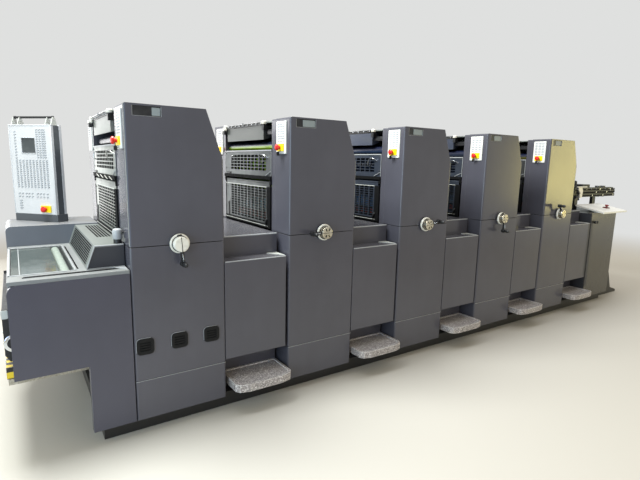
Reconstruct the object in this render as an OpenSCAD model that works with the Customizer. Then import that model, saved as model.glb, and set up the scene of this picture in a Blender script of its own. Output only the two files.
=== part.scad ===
// Sheet-fed offset printing press with five printing units in a row.
// X runs along the press from the delivery to the feeder, Y runs from the
// operator side to the drive side, and Z is up from the floor.
// Inside the modules X is counted from the first tower's delivery side face and
// Y from the front of the operator side covers; placed() centres the whole press.

/* [Towers] */
// Distance from one printing tower to the next
tower_pitch = 877; // [800:1:980]
// Length of one tower along the press
tower_w = 479; // [440:1:520]
// Height of the towers above the floor
tower_h = 1650; // [1600:5:1720]
// Height of the covers' bottom edge above the floor
cover_bottom = 80; // [60:1:110]
// Height of the joint between toe cover and middle cover
toe_joint_z = 289; // [270:1:310]
// Height of the joint between middle cover and upper cover
cover_joint_z = 976; // [960:1:982]
// Open joint between neighbouring covers
cover_gap = 4; // [2:1:6]
// Length of the slope at the top feeder side corner, along the press
slope_x = 89; // [60:1:120]
// Drop of the slope at the top feeder side corner
slope_z = 257; // [200:1:300]
// Radius of the covers' rounded edges
edge_r = 12; // [6:1:16]

/* [Depths] */
// Depth of the covers in front of each side frame
cover_d = 175; // [160:5:200]
// Thickness of the cast side frames
frame_t = 45; // [35:1:60]
// Clear width between the two side frames
inner_w = 725; // [680:5:760]

/* [Base and links] */
// Set back of the base plinth behind the covers
plinth_set = 50; // [30:5:80]
// Distance of the closed lower body's top below the top of the towers
body_drop = 755; // [752:1:780]
// Height of the ledge on the side panels between towers
link_h = 858; // [820:1:880]
// Height of the lower edge of the side panels between towers
link_bottom = 303; // [290:1:320]
// Depth of the ledge on the side panels between towers
ledge_d = 116; // [100:1:130]
// Height of the transfer cover between towers
riser_h = 978; // [950:1:979]
// Gap between a link panel and the next tower
link_gap = 20; // [8:1:24]
// Depth of the foot recess under the link panels
recess_d = 130; // [125:1:160]

/* [Steps] */
// Length of a step plate along the press
step_w = 354; // [340:1:384]
// Reach of a step plate in front of the covers
step_reach = 115; // [100:5:140]
// Height of the tread above the floor
step_top = 179; // [165:1:200]
// Thickness of a step plate
step_t = 44; // [36:1:56]
// Width of the raised rim round the tread
step_rim = 14; // [10:1:20]
// Depth of the tread below its rim
tread_sink = 5; // [3:1:8]
// Distance of the gussets from the ends of a step plate
gusset_x = 60; // [40:5:90]
// Thickness of the gussets
gusset_t = 10; // [6:1:14]
// Length of the sloping front corners
step_corner = 76; // [50:1:90]

/* [Guards] */
// Distance of the lower guard's bottom edge below the top of the towers
guard_drop = 666; // [656:1:667]
// Distance of the guard's hinge line below the top of the towers
pivot_drop = 380; // [376:1:388]
// Distance of the black rail's underside below the top of the towers
rail_drop = 362; // [358:1:364]
// Height of the black rail itself
rail_t = 21; // [16:1:24]
// Distance of the upper slotted guard's top below the top of the towers
guard_top_drop = 180; // [160:1:200]
// Thickness of the guard panels
guard_t = 12; // [8:1:14]
// Side clearance of the hinged guard
guard_side = 8; // [6:1:12]
// Plain margin beside the slots on the operator side
slot_front = 75; // [60:1:90]
// Plain margin beside the slots on the drive side
slot_back = 95; // [60:1:110]
// Radius of the hinge pins
pin_r = 6; // [5:0.5:7]
// Rows of slots in the lower guard
lower_rows = 13; // [8:1:13]
// Rows of slots in the upper guard
upper_rows = 5; // [3:1:5]
// Columns of slots in each guard
slot_columns = 10; // [6:1:11]
// Bridge left between two slots of a row
slot_bridge = 10; // [8:1:20]
// Height of one slot of the lower guard
lower_slot_h = 12; // [8:0.5:13]
// Height of one slot of the upper guard
upper_slot_h = 15; // [8:0.5:16]

/* [Rollers and cylinders] */
// Radius of the plate, blanket and impression cylinders
cyl_r = 85; // [80:1:87]
// Radius of the form rollers
form_r = 30; // [26:1:31]
// Radius of the roller seen under the ink duct
top_roller_r = 30; // [26:1:32]
// Radius of the distributor drums
drum_r = 38; // [34:1:40]
// Running gap drawn between neighbouring rollers
nip = 1; // [0.5:0.5:2]
// Length of each journal between a roller body and its frame
journal_l = 18; // [12:1:24]
// Radius of the journals
journal_r = 14; // [10:1:18]

/* [Ink ducts] */
// Distance of the duct's top edge below the top of the towers
duct_drop = 29; // [26:1:40]
// Height of the duct plate
duct_h = 88; // [70:1:92]
// Width left free between the duct and the operator side frame
duct_side = 112; // [80:1:130]
// Width left free between the duct and the drive side frame
duct_back = 40; // [30:1:80]
// Distance of the top guard below the top of the towers
top_guard_drop = 10; // [6:1:14]

/* [Handwheels] */
// Distance of the handwheel from the tower's delivery side edge
wheel_x = 235; // [200:1:280]
// Height of the handwheel's axis
wheel_z = 983; // [970:1:1000]
// Radius of the handwheel
wheel_r = 50; // [44:1:56]
// Length of the crank from the axis to its knob
crank_l = 100; // [85:1:120]
// Radius of the fixed spindle
spindle_r = 10; // [8:1:12]

/* [Key panels and displays] */
// Width of a key panel
key_w = 110; // [100:1:130]
// Height of a key panel
key_h = 183; // [170:1:190]
// Distance of the key panel's top edge below the top of the towers
key_drop = 22; // [16:1:40]
// Distance of the key panel from the front of the covers
key_y = 42; // [24:1:50]
// Distance of the drive side key panel behind the drive side frame
key_back = 4; // [2:1:30]
// Thickness of a key panel
key_t = 6; // [4:1:8]
// Height of the yellow collar of an emergency stop
stop_w = 42; // [34:1:50]
// Length of the yellow collar of an emergency stop
stop_l = 72; // [50:1:84]
// Height of a stop's middle above the bottom of its key panel
stop_rise = 36; // [30:1:60]
// Thickness of the yellow collar
collar_t = 8; // [5:1:10]
// Width of the display
display_w = 134; // [120:1:150]
// Height of the display
display_h = 47; // [40:1:52]
// Distance of the display's top edge below the top of the towers
display_drop = 9; // [6:1:16]
// Distance of the display from the tower's delivery side edge
display_x = 38; // [30:1:60]
// Depth of the display recess
display_sink = 10; // [6:1:14]
// Thickness of the display's pane
pane_t = 5; // [3:0.5:6]

/* [Vents] */
// Width of the vents on the first tower
vent_w = 84; // [70:1:96]
// Height of a vent
vent_h = 84; // [76:1:104]
// Height of the vents' middle
vent_z = 471; // [430:1:520]
// Radius of a vent's corners
vent_r = 20; // [14:1:26]
// Distance of the first vent's middle from the tower's delivery side edge
vent_x = 53; // [50:1:60]
// Distance from one vent to the next
vent_pitch = 172; // [150:1:176]
// Number of louvres in a vent
vent_slats = 4; // [3:1:5]
// Distance from one louvre to the next
slat_pitch = 13; // [11:1:18]
// Height that the vents stand proud of the cover
vent_t = 7; // [5:1:10]

/* [Delivery] */
// Length of the delivery in front of the first tower
delivery_l = 498; // [470:1:520]
// Height of the delivery side panels
delivery_h = 852; // [830:1:860]
// Lower edge of the overhanging part of the side panels
overhang_z = 422; // [400:1:450]
// Length of the leg of the side panels
leg_w = 200; // [170:1:220]
// Thickness of the delivery and feeder side panels
panel_t = 45; // [35:1:55]
// Thickness of the delivery's top frame
top_t = 16; // [12:1:20]
// Depth of the ledge in front of the tray
delivery_ledge = 115; // [105:1:125]
// Start of the drive side cabinet, from the front of the covers
cabinet_y = 930; // [920:1:940]
// Depth of the drive side cabinet
cabinet_d = 400; // [380:5:420]
// Height of the drive side cabinet
cabinet_h = 988; // [970:1:1000]
// Length of the tray's opening along the press
tray_l = 264; // [240:1:270]
// Depth of the tray
tray_d = 62; // [50:1:80]
// Length of the flat hood top
hood_l = 132; // [120:1:140]
// Height of the hood
hood_h = 981; // [960:1:990]
// Run of the hood's slope along the press
hood_run = 41; // [30:1:50]
// Radius of the knob beside the hood's side plate
knob_r = 22; // [18:1:26]
// Number of slots in the hood grille
grille_slots = 9; // [6:1:10]
// Reach of the end bars past the side panels
end_reach = 28; // [22:1:45]
// Height of the round bar's axis across the delivery end
end_tube_z = 586; // [570:1:600]
// Radius of the round bar across the delivery end
end_tube_r = 43; // [36:1:46]
// Height of the flat bar's bottom edge across the delivery end
end_bar_z = 664; // [650:1:680]
// Height of the flat bar itself
end_bar_h = 66; // [50:1:72]
// Height of the delivery's pile board
board_z = 381; // [320:1:384]
// Thickness of the pile boards
board_t = 26; // [20:1:34]
// Width of the striped guard bar
toe_guard_w = 30; // [24:1:36]
// Height of the striped guard bar
toe_guard_h = 54; // [44:1:55]

/* [Console] */
// Width of the console
console_w = 322; // [300:1:334]
// Depth of the console
console_d = 85; // [75:1:95]
// Height of the console's foot
console_foot = 48; // [40:1:56]
// Height of the console's cabinet
console_h = 554; // [520:1:580]
// Height of the bar's brackets over the console
console_bar_h = 46; // [34:1:47]
// Turn of the console on its deck, in degrees
console_turn = -47; // [-50:0.1:-43]
// Thickness of the console's white face
face_t = 14; // [10:1:18]
// Distance of the console's stop from the face's end
console_stop_in = 79; // [50:1:90]
// Height of the console's stop above its deck
console_stop_z = 82; // [76:1:120]
// Position of the console's near left corner along the press
console_x = -439; // [-444:1:-420]
// Distance of the console's near left corner behind the covers
console_y = 1263; // [1256:1:1268]

/* [Feeder] */
// Length of the feeder's side panels
feeder_l = 505; // [480:1:530]
// Height of the feeder's side panels
feeder_h = 958; // [940:1:965]
// Distance of the desk from the feeder's start
desk_dx = 90; // [60:1:110]
// Length of the feeder desk
desk_l = 500; // [450:1:540]
// Depth of the feeder desk
desk_d = 287; // [260:1:300]
// Drop of the desk's front edge below the top of the side panels
desk_drop = 4; // [2:0.5:6]
// Rise of the desk from front to back
desk_rise = 54; // [48:1:64]
// Thickness of the desk slab
desk_t = 16; // [12:1:20]
// Reach of the desk in front of the covers
desk_reach = 65; // [50:1:75]
// Distance of the desk's emergency stop from the desk's end
desk_stop_x = 193; // [120:1:300]
// Distance of the desk's emergency stop behind the desk's front edge
desk_stop_y = 122; // [60:1:200]
// Length of the open pile bay beyond the side panels
pile_l = 440; // [400:1:470]
// Rise of the head's side rails over the side panels
arm_rise = 242; // [220:1:260]
// Height of the head's side rails
arm_h = 100; // [80:1:110]
// Thickness of the head's side rails
arm_t = 30; // [24:1:36]
// Distance of the suction head from the end of the side panels
head_dx = 130; // [110:5:160]
// Distance between the head's two cross bars
head_bars = 110; // [90:5:130]
// Height of the feeder's pile board
feeder_board_z = 240; // [200:5:300]

/* [Hidden] */
$fn = 48;
TOWERS = 5;

// Colours of the paints, metals and plastics
slate = "#50525e";
dark_slate = "#3c3e46";
pale_grey = "#a9adad";
steel = "#b9bcbe";
white = "#eceeee";
black = "#1d1d20";
yellow = "#e6c816";
red = "#c8201c";

// Planes across the press, from the operator side to the drive side
frame_y0 = cover_d;
inner_y0 = cover_d + frame_t;
inner_y1 = inner_y0 + inner_w;
frame_y1 = inner_y1 + frame_t;
depth = frame_y1 + cover_d;

// Places along the press
last_end = (TOWERS - 1) * tower_pitch + tower_w;
link_l = tower_pitch - tower_w - link_gap;
feeder_x0 = last_end + link_l + link_gap;
feeder_x1 = feeder_x0 + feeder_l;
desk_x0 = feeder_x0 + desk_dx;
desk_x1 = desk_x0 + desk_l;
desk_z = feeder_h - desk_drop;
x_low = -delivery_l - end_reach;
x_high = feeder_x1 + pile_l;
y_low = -step_reach;
y_high = cabinet_y + cabinet_d;

// Heights counted down from the top of the towers
body_top = tower_h - body_drop;
guard_bottom = tower_h - guard_drop;
guard_pivot_z = tower_h - pivot_drop;
rail_z = tower_h - rail_drop;
guard_top = tower_h - guard_top_drop;
key_z = tower_h - key_drop - key_h;
display_z = tower_h - display_drop - display_h;
duct_bottom = tower_h - duct_drop - duct_h;
top_cover_z = tower_h - top_guard_drop;

// Small clearance between pieces that rest on each other
fit = 0.3;

// Angle of each crank at rest, in degrees from hanging down, towards the feeder
crank_turns = [4, -90, 100, 0, -140];

// Hinge line of the lower guards, from the tower's delivery side face
guard_x0 = -2;
pivot_x = guard_x0 + guard_t / 2 + 1;

// Delivery places
panel_gap = 4;
hood_x1 = -panel_gap;
hood_x0 = hood_x1 - hood_l;
tray_x0 = -delivery_l + 7;
tray_x1 = tray_x0 + tray_l;
deck_z = delivery_h + top_t;
pile_y0 = panel_t + 25;

// Moves the press so that its box is centred over the origin
module placed() {
    translate([-(x_low + x_high) / 2, -(y_low + y_high) / 2, 0]) children();
}

// Repeats the children at every tower
module each_tower() {
    for (i = [0 : TOWERS - 1]) translate([i * tower_pitch, 0, 0]) children();
}

// Box between two corners
module block(low, high) {
    translate(low) cube(high - low);
}

// Outline drawn in X and Z, given its depth from y0 to y1
module along_y(y0, y1) {
    translate([0, y1, 0]) rotate([90, 0, 0]) linear_extrude(y1 - y0) children();
}

// Outline drawn in Y and Z, given its length from x0 to x1
module along_x(x0, x1) {
    translate([x0, 0, 0]) rotate([90, 0, 90]) linear_extrude(x1 - x0) children();
}

// Round bar along Y
module bar_y(x, z, y0, y1, r) {
    translate([x, y0, z]) rotate([-90, 0, 0]) cylinder(h = y1 - y0, r = r);
}

// Rectangle with round corners, its low corner at the origin
module round_rect(size, r) {
    union() {
        translate([r, 0]) square([size[0] - 2 * r, size[1]]);
        translate([0, r]) square([size[0], size[1] - 2 * r]);
        for (x = [r, size[0] - r], y = [r, size[1] - r]) translate([x, y]) circle(r);
    }
}

// Tower seen from the operator side, between two heights
module tower_outline(z0, z1) {
    intersection() {
        translate([0, z0]) square([tower_w, z1 - z0]);
        difference() {
            polygon([[0, 0], [tower_w, 0], [tower_w, tower_h - slope_z],
                [tower_w - slope_x, tower_h], [0, tower_h]]);
            translate([0, tower_h - edge_r]) difference() {
                translate([-1, 0]) square([edge_r + 1, edge_r + 1]);
                translate([edge_r, 0]) circle(edge_r);
            }
        }
    }
}

// Plan of an operator side cover: a block with two round upright front edges
module cover_plan() {
    union() {
        translate([edge_r, 0]) square([tower_w - 2 * edge_r, cover_d]);
        translate([0, edge_r]) square([tower_w, cover_d - edge_r]);
        for (x = [edge_r, tower_w - edge_r]) translate([x, edge_r]) circle(edge_r);
    }
}

// One operator side cover between two heights
module cover(z0, z1) {
    intersection() {
        along_y(0, cover_d) tower_outline(z0, z1);
        translate([0, 0, z0]) linear_extrude(z1 - z0) cover_plan();
    }
}

// Base plinth under the towers, the leg of the delivery and the feeder
module base_plinth() {
    color(dark_slate) placed() union() {
        block([-leg_w + plinth_set, plinth_set, 0],
            [feeder_x1 - plinth_set, depth - plinth_set, cover_bottom]);
        block([-leg_w + plinth_set, depth - plinth_set - 1, 0],
            [-plinth_set, cabinet_y + cabinet_d - plinth_set, cover_bottom]);
    }
}

// Closed lower bodies between the side frames
module lower_bodies() {
    color(dark_slate) placed() each_tower()
        block([3, inner_y0, cover_bottom], [tower_w - 3, inner_y1, body_top]);
}

// Cast side frame, which the rollers and cylinders turn in
module side_frame(y0) {
    along_y(y0, y0 + frame_t) tower_outline(cover_bottom, tower_h - cover_gap);
}

module operator_frames() {
    color(slate) placed() each_tower() side_frame(frame_y0);
}

module drive_frames() {
    color(slate) placed() each_tower() side_frame(inner_y1);
}

module toe_covers() {
    color(slate) placed() each_tower() cover(cover_bottom, toe_joint_z - cover_gap / 2);
}

module middle_covers() {
    color(slate) placed() each_tower()
        cover(toe_joint_z + cover_gap / 2, cover_joint_z - cover_gap / 2);
}

// Upper covers with the display's recess at the top
module upper_covers() {
    color(slate) placed() each_tower() difference() {
        cover(cover_joint_z + cover_gap / 2, tower_h);
        block([display_x, -1, display_z],
            [display_x + display_w, display_sink, display_z + display_h]);
    }
}

// Drive side covers, the operator side ones mirrored, with the same joints
module drive_side_covers() {
    heights = [cover_bottom, toe_joint_z, cover_joint_z, tower_h + cover_gap / 2];
    color(slate) placed() each_tower() translate([0, depth, 0]) mirror([0, 1, 0])
        for (i = [0 : 2])
            cover(heights[i] + (i == 0 ? 0 : cover_gap / 2), heights[i + 1] - cover_gap / 2);
}

// Folded guard over the top and down the feeder side of each tower
module top_guards() {
    t = 8;
    z0 = body_top;
    z2 = top_cover_z;
    x2 = tower_w - slope_x - 5;
    color(pale_grey) placed() each_tower() along_y(inner_y0, inner_y1)
        polygon([[tower_w - 4, z0], [tower_w - 4, tower_h - slope_z],
            [x2, z2], [6, z2], [6, z2 - t], [x2 - t, z2 - t],
            [tower_w - 4 - t, tower_h - slope_z - t], [tower_w - 4 - t, z0]]);
}

// Side panels between the towers, both sides, with a ledge behind their top edge
module link_panels() {
    color(slate) placed() for (i = [0 : TOWERS - 1]) translate([i * tower_pitch, 0, 0]) {
        block([tower_w, 0, link_bottom], [tower_w + link_l, ledge_d, link_h]);
        block([tower_w, depth - ledge_d, link_bottom], [tower_w + link_l, depth, link_h]);
    }
}

// Transfer housings between the towers, set back over the ledge and over the steps
module link_housings() {
    color(slate) placed() for (i = [0 : TOWERS - 1]) translate([i * tower_pitch, 0, 0])
        along_x(tower_w, tower_w + link_l) polygon([[recess_d, cover_bottom],
            [depth - recess_d, cover_bottom], [depth - recess_d, link_bottom],
            [depth - ledge_d, link_bottom], [depth - ledge_d, riser_h],
            [ledge_d, riser_h], [ledge_d, link_bottom], [recess_d, link_bottom]]);
}

// Plan of a step plate with sloping front corners, shrunk by an edge on three sides
module step_plan(edge) {
    c = step_corner;
    x0 = edge;
    x1 = step_w - edge;
    y0 = -step_reach + edge;
    polygon([[x0, recess_d - edge], [x0, y0 + c * 0.55], [x0 + c * 0.25, y0 + c * 0.2],
        [x0 + c, y0], [x1 - c, y0], [x1 - c * 0.25, y0 + c * 0.2],
        [x1, y0 + c * 0.55], [x1, recess_d - edge]]);
}

// Step plates under the link panels, with a sunk tread and two gussets each
module step_plates() {
    under = step_top - step_t;
    color(pale_grey) placed() for (i = [0 : TOWERS - 1])
        translate([i * tower_pitch + (tower_pitch + tower_w - step_w) / 2, 0, 0]) {
            difference() {
                translate([0, 0, under]) linear_extrude(step_t) step_plan(0);
                translate([0, 0, step_top - tread_sink]) linear_extrude(step_t)
                    step_plan(step_rim);
            }
            for (x = [gusset_x, step_w - gusset_x - gusset_t]) along_x(x, x + gusset_t)
                polygon([[recess_d, cover_bottom + 5], [recess_d, under], [0, under]]);
        }
}

// Key panels on the delivery side face of each tower, one on each side of the press
module key_panels() {
    color(white) placed() each_tower() for (y = [key_y, frame_y1 + key_back])
        along_x(-key_t, 0) translate([y, key_z]) round_rect([key_w, key_h], 4);
}

// Places of the emergency stops: key panels, but for the first on the drive side,
// console and feeder desk. A collar's long side lies along Y.
module at_stops() {
    for (i = [0 : TOWERS - 1], y = i == 0 ? [key_y] : [key_y, frame_y1 + key_back])
        translate([i * tower_pitch - key_t, y + key_w / 2, key_z + stop_rise])
            rotate([0, -90, 0]) children();
    at_console() translate([console_w - console_stop_in, 0, console_stop_z])
        rotate([90, 0, 0]) rotate([0, 0, 90]) children();
    translate([desk_x1 - desk_stop_x, desk_stop_y - desk_reach, desk_top(desk_stop_y)])
        rotate([desk_pitch, 0, 0]) rotate([0, 0, 90]) children();
}

// Yellow collars of the emergency stops
module stop_collars() {
    color(yellow) placed() at_stops() translate([-stop_w / 2, -stop_l / 2, 0])
        cube([stop_w, stop_l, collar_t]);
}

// Red mushroom buttons of the emergency stops
module stop_buttons() {
    r = stop_w * 0.45;
    color(red) placed() at_stops() translate([0, 0, collar_t]) rotate_extrude()
        polygon([[0, 0], [r / 2, 0], [r / 2, 12], [r - 2, 14], [r, 18], [r - 1, 23],
            [r - 6, 27], [0, 29]]);
}

// Dark panes at the back of the display recesses
module display_panes() {
    color(black) placed() each_tower()
        block([display_x + fit, display_sink - pane_t, display_z + fit],
            [display_x + display_w - fit, display_sink, display_z + display_h - fit]);
}

// Black louvred vents on the first tower's middle cover
module vent_grilles() {
    frame = 15;
    slat_h = 7;
    z0 = vent_z - ((vent_slats - 1) * slat_pitch + slat_h) / 2;
    color(black) placed() for (i = [0 : 2]) translate([vent_x + i * vent_pitch, 0, 0])
        difference() {
            along_y(-vent_t, 0) translate([-vent_w / 2, vent_z - vent_h / 2])
                round_rect([vent_w, vent_h], vent_r);
            for (k = [0 : vent_slats - 1])
                block([frame - vent_w / 2, -vent_t - 1, z0 + k * slat_pitch],
                    [vent_w / 2 - frame, -2, z0 + k * slat_pitch + slat_h]);
        }
}

// Ink ducts: a trough with a sloping blade, two cheeks and arms to the side frames
module ink_ducts() {
    y0 = inner_y0 + duct_side;
    y1 = inner_y1 - duct_back;
    z0 = duct_bottom;
    z1 = duct_bottom + duct_h;
    t = 8;
    blade_x = 60;
    blade_z = z0 + 26;
    arm_x = 14;
    arm_w = 30;
    color(pale_grey) placed() each_tower() {
        along_y(y0, y1) polygon([[0, z0], [0, z1], [t, z1], [t, z0 + t + 4],
            [blade_x, blade_z], [blade_x + 2, blade_z - 6], [t, z0]]);
        for (y = [y0, y1 - t]) along_y(y, y + t)
            polygon([[0, z0], [0, z1], [blade_x - t, z1], [blade_x + 10, z0 + 40],
                [blade_x + 2, blade_z - 6], [t, z0]]);
        for (y = [[inner_y0, y0], [y1, inner_y1]])
            block([arm_x, y[0], z0 + 30], [arm_x + arm_w, y[1], z0 + 30 + arm_w]);
    }
}

// Rows and columns of slots over a panel between two heights
module slot_rows(y0, y1, z0, z1, rows, columns, bridge, slot_h) {
    step_y = (y1 - y0) / columns;
    step_z = (z1 - z0 - slot_h) / (rows - 1);
    for (r = [0 : rows - 1], c = [0 : columns - 1])
        translate([y0 + c * step_y, z0 + r * step_z]) square([step_y - bridge, slot_h]);
}

// Upper slotted guards, fixed between the side frames
module upper_guards() {
    z0 = rail_z + rail_t;
    color(pale_grey) placed() each_tower() along_x(guard_x0, guard_x0 + guard_t)
        difference() {
            translate([inner_y0, z0]) square([inner_w, guard_top - z0]);
            slot_rows(inner_y0 + slot_front, inner_y1 - slot_back, z0 + 33, guard_top - 30,
                upper_rows, slot_columns, slot_bridge, upper_slot_h);
        }
}

// Black rails over the hinged guards, with a bored bracket at each end
module guard_rails() {
    bracket_t = 20;
    color(black) placed() each_tower() difference() {
        union() {
            block([guard_x0 - 10, inner_y0, rail_z],
                [guard_x0 + guard_t + 4, inner_y1, rail_z + rail_t]);
            for (y = [inner_y0, inner_y1 - bracket_t])
                block([pivot_x - 12, y, guard_pivot_z - 12],
                    [pivot_x + 12, y + bracket_t, rail_z]);
        }
        bar_y(pivot_x, guard_pivot_z, inner_y0 - 1, inner_y1 + 1, pin_r + 0.05);
    }
}

// Lower slotted guard, hung on two pins so that it lifts outwards
module lower_guard(n) {
    barrel_r = pin_r + 3;
    barrel_y0 = inner_y0 + 25;
    barrel_y1 = inner_y1 - 25;
    side_y0 = inner_y0 + guard_side;
    side_y1 = inner_y1 - guard_side;
    shoulder_z = guard_pivot_z - 26;
    color(pale_grey) placed() translate([(n - 1) * tower_pitch, 0, 0]) union() {
        along_x(guard_x0, guard_x0 + guard_t) difference() {
            polygon([[side_y0, guard_bottom], [side_y1, guard_bottom],
                [side_y1, shoulder_z], [barrel_y1, shoulder_z],
                [barrel_y1, guard_pivot_z], [barrel_y0, guard_pivot_z],
                [barrel_y0, shoulder_z], [side_y0, shoulder_z]]);
            slot_rows(inner_y0 + slot_front, inner_y1 - slot_back, guard_bottom + 38,
                shoulder_z - 8, lower_rows, slot_columns, slot_bridge, lower_slot_h);
        }
        bar_y(pivot_x, guard_pivot_z, barrel_y0, barrel_y1, barrel_r);
        bar_y(pivot_x, guard_pivot_z, inner_y0 + 2, inner_y1 - 2, pin_r);
    }
}

// Places of the cylinders in a tower, as X and Z of their axes
blanket_at = [cyl_r + 33, body_top + cyl_r + 98];
roll_gap = 2 * cyl_r + nip;
plate_at = blanket_at + roll_gap * [cos(60), sin(60)];
impression_at = blanket_at + roll_gap * [cos(30), -sin(30)];

// One roller or cylinder with a journal at each end, between the side frames
module roller(at, r) {
    bar_y(at[0], at[1], inner_y0 + journal_l, inner_y1 - journal_l, r);
    bar_y(at[0], at[1], inner_y0, inner_y1, min(journal_r, r * 0.6));
}

// Roller train over the plate cylinder: form rollers, drums and riders
module ink_rollers() {
    form_d = cyl_r + nip + form_r;
    drum_d = form_d + 56;
    color(dark_slate) placed() each_tower() {
        for (a = [35 : 45 : 170]) roller(plate_at + form_d * [cos(a), sin(a)], form_r);
        for (a = [57.5 : 45 : 150]) roller(plate_at + drum_d * [cos(a), sin(a)], drum_r);
        roller(plate_at + [40, 2.5 * cyl_r + 25], 26);
        roller(plate_at + [-50, 3 * cyl_r - 2], 28);
        roller([52, duct_bottom - top_roller_r - 9], top_roller_r);
    }
}

module steel_cylinders() {
    color(steel) placed() each_tower() {
        roller(plate_at, cyl_r);
        roller(impression_at, cyl_r);
    }
}

module blanket_cylinders() {
    color("#5f9fc0") placed() each_tower() roller(blanket_at, cyl_r);
}

// Fixed spindles that the handwheels turn on, each with a round flange
module handwheel_spindles() {
    color(steel) placed() each_tower() {
        bar_y(wheel_x, wheel_z, -6, 0, wheel_r * 0.6);
        bar_y(wheel_x, wheel_z, -42, -6, spindle_r);
    }
}

// Handwheel: a dished ring, a split front disc and a crank with a knob
module handwheel(n) {
    disc_r = wheel_r * 0.76;
    color(white) placed() translate([(n - 1) * tower_pitch + wheel_x, 0, wheel_z])
        rotate([0, -crank_turns[n - 1], 0]) difference() {
            union() {
                bar_y(0, 0, -26, -7, wheel_r);
                bar_y(0, 0, -56, -26, disc_r);
                block([-9, -50, -crank_l], [9, -38, 0]);
                bar_y(0, -crank_l, -58, -34, 15);
                bar_y(0, -crank_l, -100, -58, 12);
            }
            bar_y(0, 0, -43, 0, spindle_r + 0.05);
            block([-2, -57, -disc_r - 1], [2, -52, disc_r + 1]);
            bar_y(0, 0, -14, 0, wheel_r * 0.8);
        }
}

// Outline of a delivery side panel: a leg at the tower and an overhang
module delivery_panel_outline() {
    r = 40;
    difference() {
        union() {
            translate([-delivery_l, overhang_z])
                square([delivery_l - panel_gap, delivery_h - overhang_z]);
            translate([-leg_w, cover_bottom])
                square([leg_w - panel_gap, overhang_z - cover_bottom + 1]);
        }
        translate([-delivery_l, delivery_h - r]) difference() {
            translate([-1, 0]) square([r + 1, r + 1]);
            translate([r, 0]) circle(r);
        }
    }
}

module delivery_side_panels() {
    color(slate) placed() for (y = [0, cabinet_y - panel_t])
        along_y(y, y + panel_t) delivery_panel_outline();
}

// Top of the delivery: a frame with a sunk tray, a slotted ledge and a slotted strip
module delivery_top() {
    floor_z = deck_z - tray_d;
    color(pale_grey) placed() difference() {
        union() {
            block([-delivery_l + 4, 2, delivery_h], [-panel_gap, cabinet_y, deck_z]);
            block([tray_x0 - 1, panel_t, floor_z - 6],
                [hood_x0 - hood_run, cabinet_y - panel_t, delivery_h]);
        }
        block([tray_x0 + 10, delivery_ledge + 12, floor_z],
            [tray_x1, cabinet_y - 30 - panel_t, deck_z + 1]);
        block([-delivery_l + 60, 52, delivery_h + 4], [-40, 80, deck_z + 1]);
        block([tray_x1 + 14, delivery_ledge + 30, deck_z - 10],
            [tray_x1 + 22, cabinet_y - 60 - panel_t, deck_z + 1]);
    }
}

// Pale roller along the feeder side of the tray
module delivery_roller() {
    z = deck_z - 24;
    x = tray_x1 - 34;
    color(white) placed() {
        bar_y(x, z, delivery_ledge + 30, cabinet_y - 50 - panel_t, 22);
        bar_y(x, z, delivery_ledge + 12, cabinet_y - 30 - panel_t, 8);
    }
}

// Outline of the hood: a slope towards the delivery end and a flat top
module hood_outline(lift) {
    polygon([[hood_x0 - hood_run, deck_z], [hood_x0, hood_h - lift],
        [hood_x1, hood_h - lift], [hood_x1, deck_z]]);
}

// Hood before the first tower, with a slotted slope and slots in its flat top
module delivery_hood() {
    y0 = delivery_ledge;
    rise = hood_h - deck_z;
    lean = atan2(rise, hood_run);
    slope_l = sqrt(pow(hood_run, 2) + pow(rise, 2));
    pitch = (slope_l - 18) / grille_slots;
    color(pale_grey) placed() difference() {
        along_y(y0, cabinet_y) hood_outline(0);
        translate([hood_x0 - hood_run, 0, deck_z]) rotate([0, -lean, 0])
            for (k = [0 : grille_slots - 1])
                block([12 + k * pitch, y0 + 60, -14], [12 + k * pitch + 7, cabinet_y - 60, 1]);
        for (k = [0 : 4])
            block([hood_x1 - 84 + k * 15, cabinet_y - 330, hood_h - 14],
                [hood_x1 - 77 + k * 15, cabinet_y - 120, hood_h + 1]);
    }
}

// Dark side plate of the hood and the knob beside it
module hood_side_plates() {
    color(dark_slate) placed() {
        along_y(delivery_ledge - 8, delivery_ledge) hood_outline(8);
        translate([hood_x1 - knob_r - 1, delivery_ledge + knob_r + 2, hood_h])
            rotate_extrude() polygon([[0, 0], [knob_r - 8, 0], [knob_r - 8, 18],
                [knob_r - 1, 22], [knob_r, 60], [knob_r - 7, 70], [0, 72]]);
    }
}

// Drive side cabinet that carries the console
module delivery_cabinet() {
    r = 30;
    color(slate) placed() along_y(cabinet_y, cabinet_y + cabinet_d) difference() {
        union() {
            translate([-delivery_l, overhang_z])
                square([delivery_l - panel_gap, cabinet_h - overhang_z]);
            translate([-leg_w, cover_bottom])
                square([leg_w - panel_gap, overhang_z - cover_bottom + 1]);
        }
        translate([-delivery_l, cabinet_h - r]) difference() {
            translate([-1, 0]) square([r + 1, r + 1]);
            translate([r, 0]) circle(r);
        }
    }
}

// Pile board of the delivery, with lugs that run on the side panels' legs
module delivery_pile_board() {
    lug = 30;
    color("#a98a5c") placed() union() {
        block([-delivery_l - 23, pile_y0, board_z],
            [-panel_gap, cabinet_y - pile_y0, board_z + board_t]);
        for (x = [-leg_w + 20, -60])
            block([x, panel_t, board_z], [x + lug, cabinet_y - panel_t, board_z + board_t]);
    }
}

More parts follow.
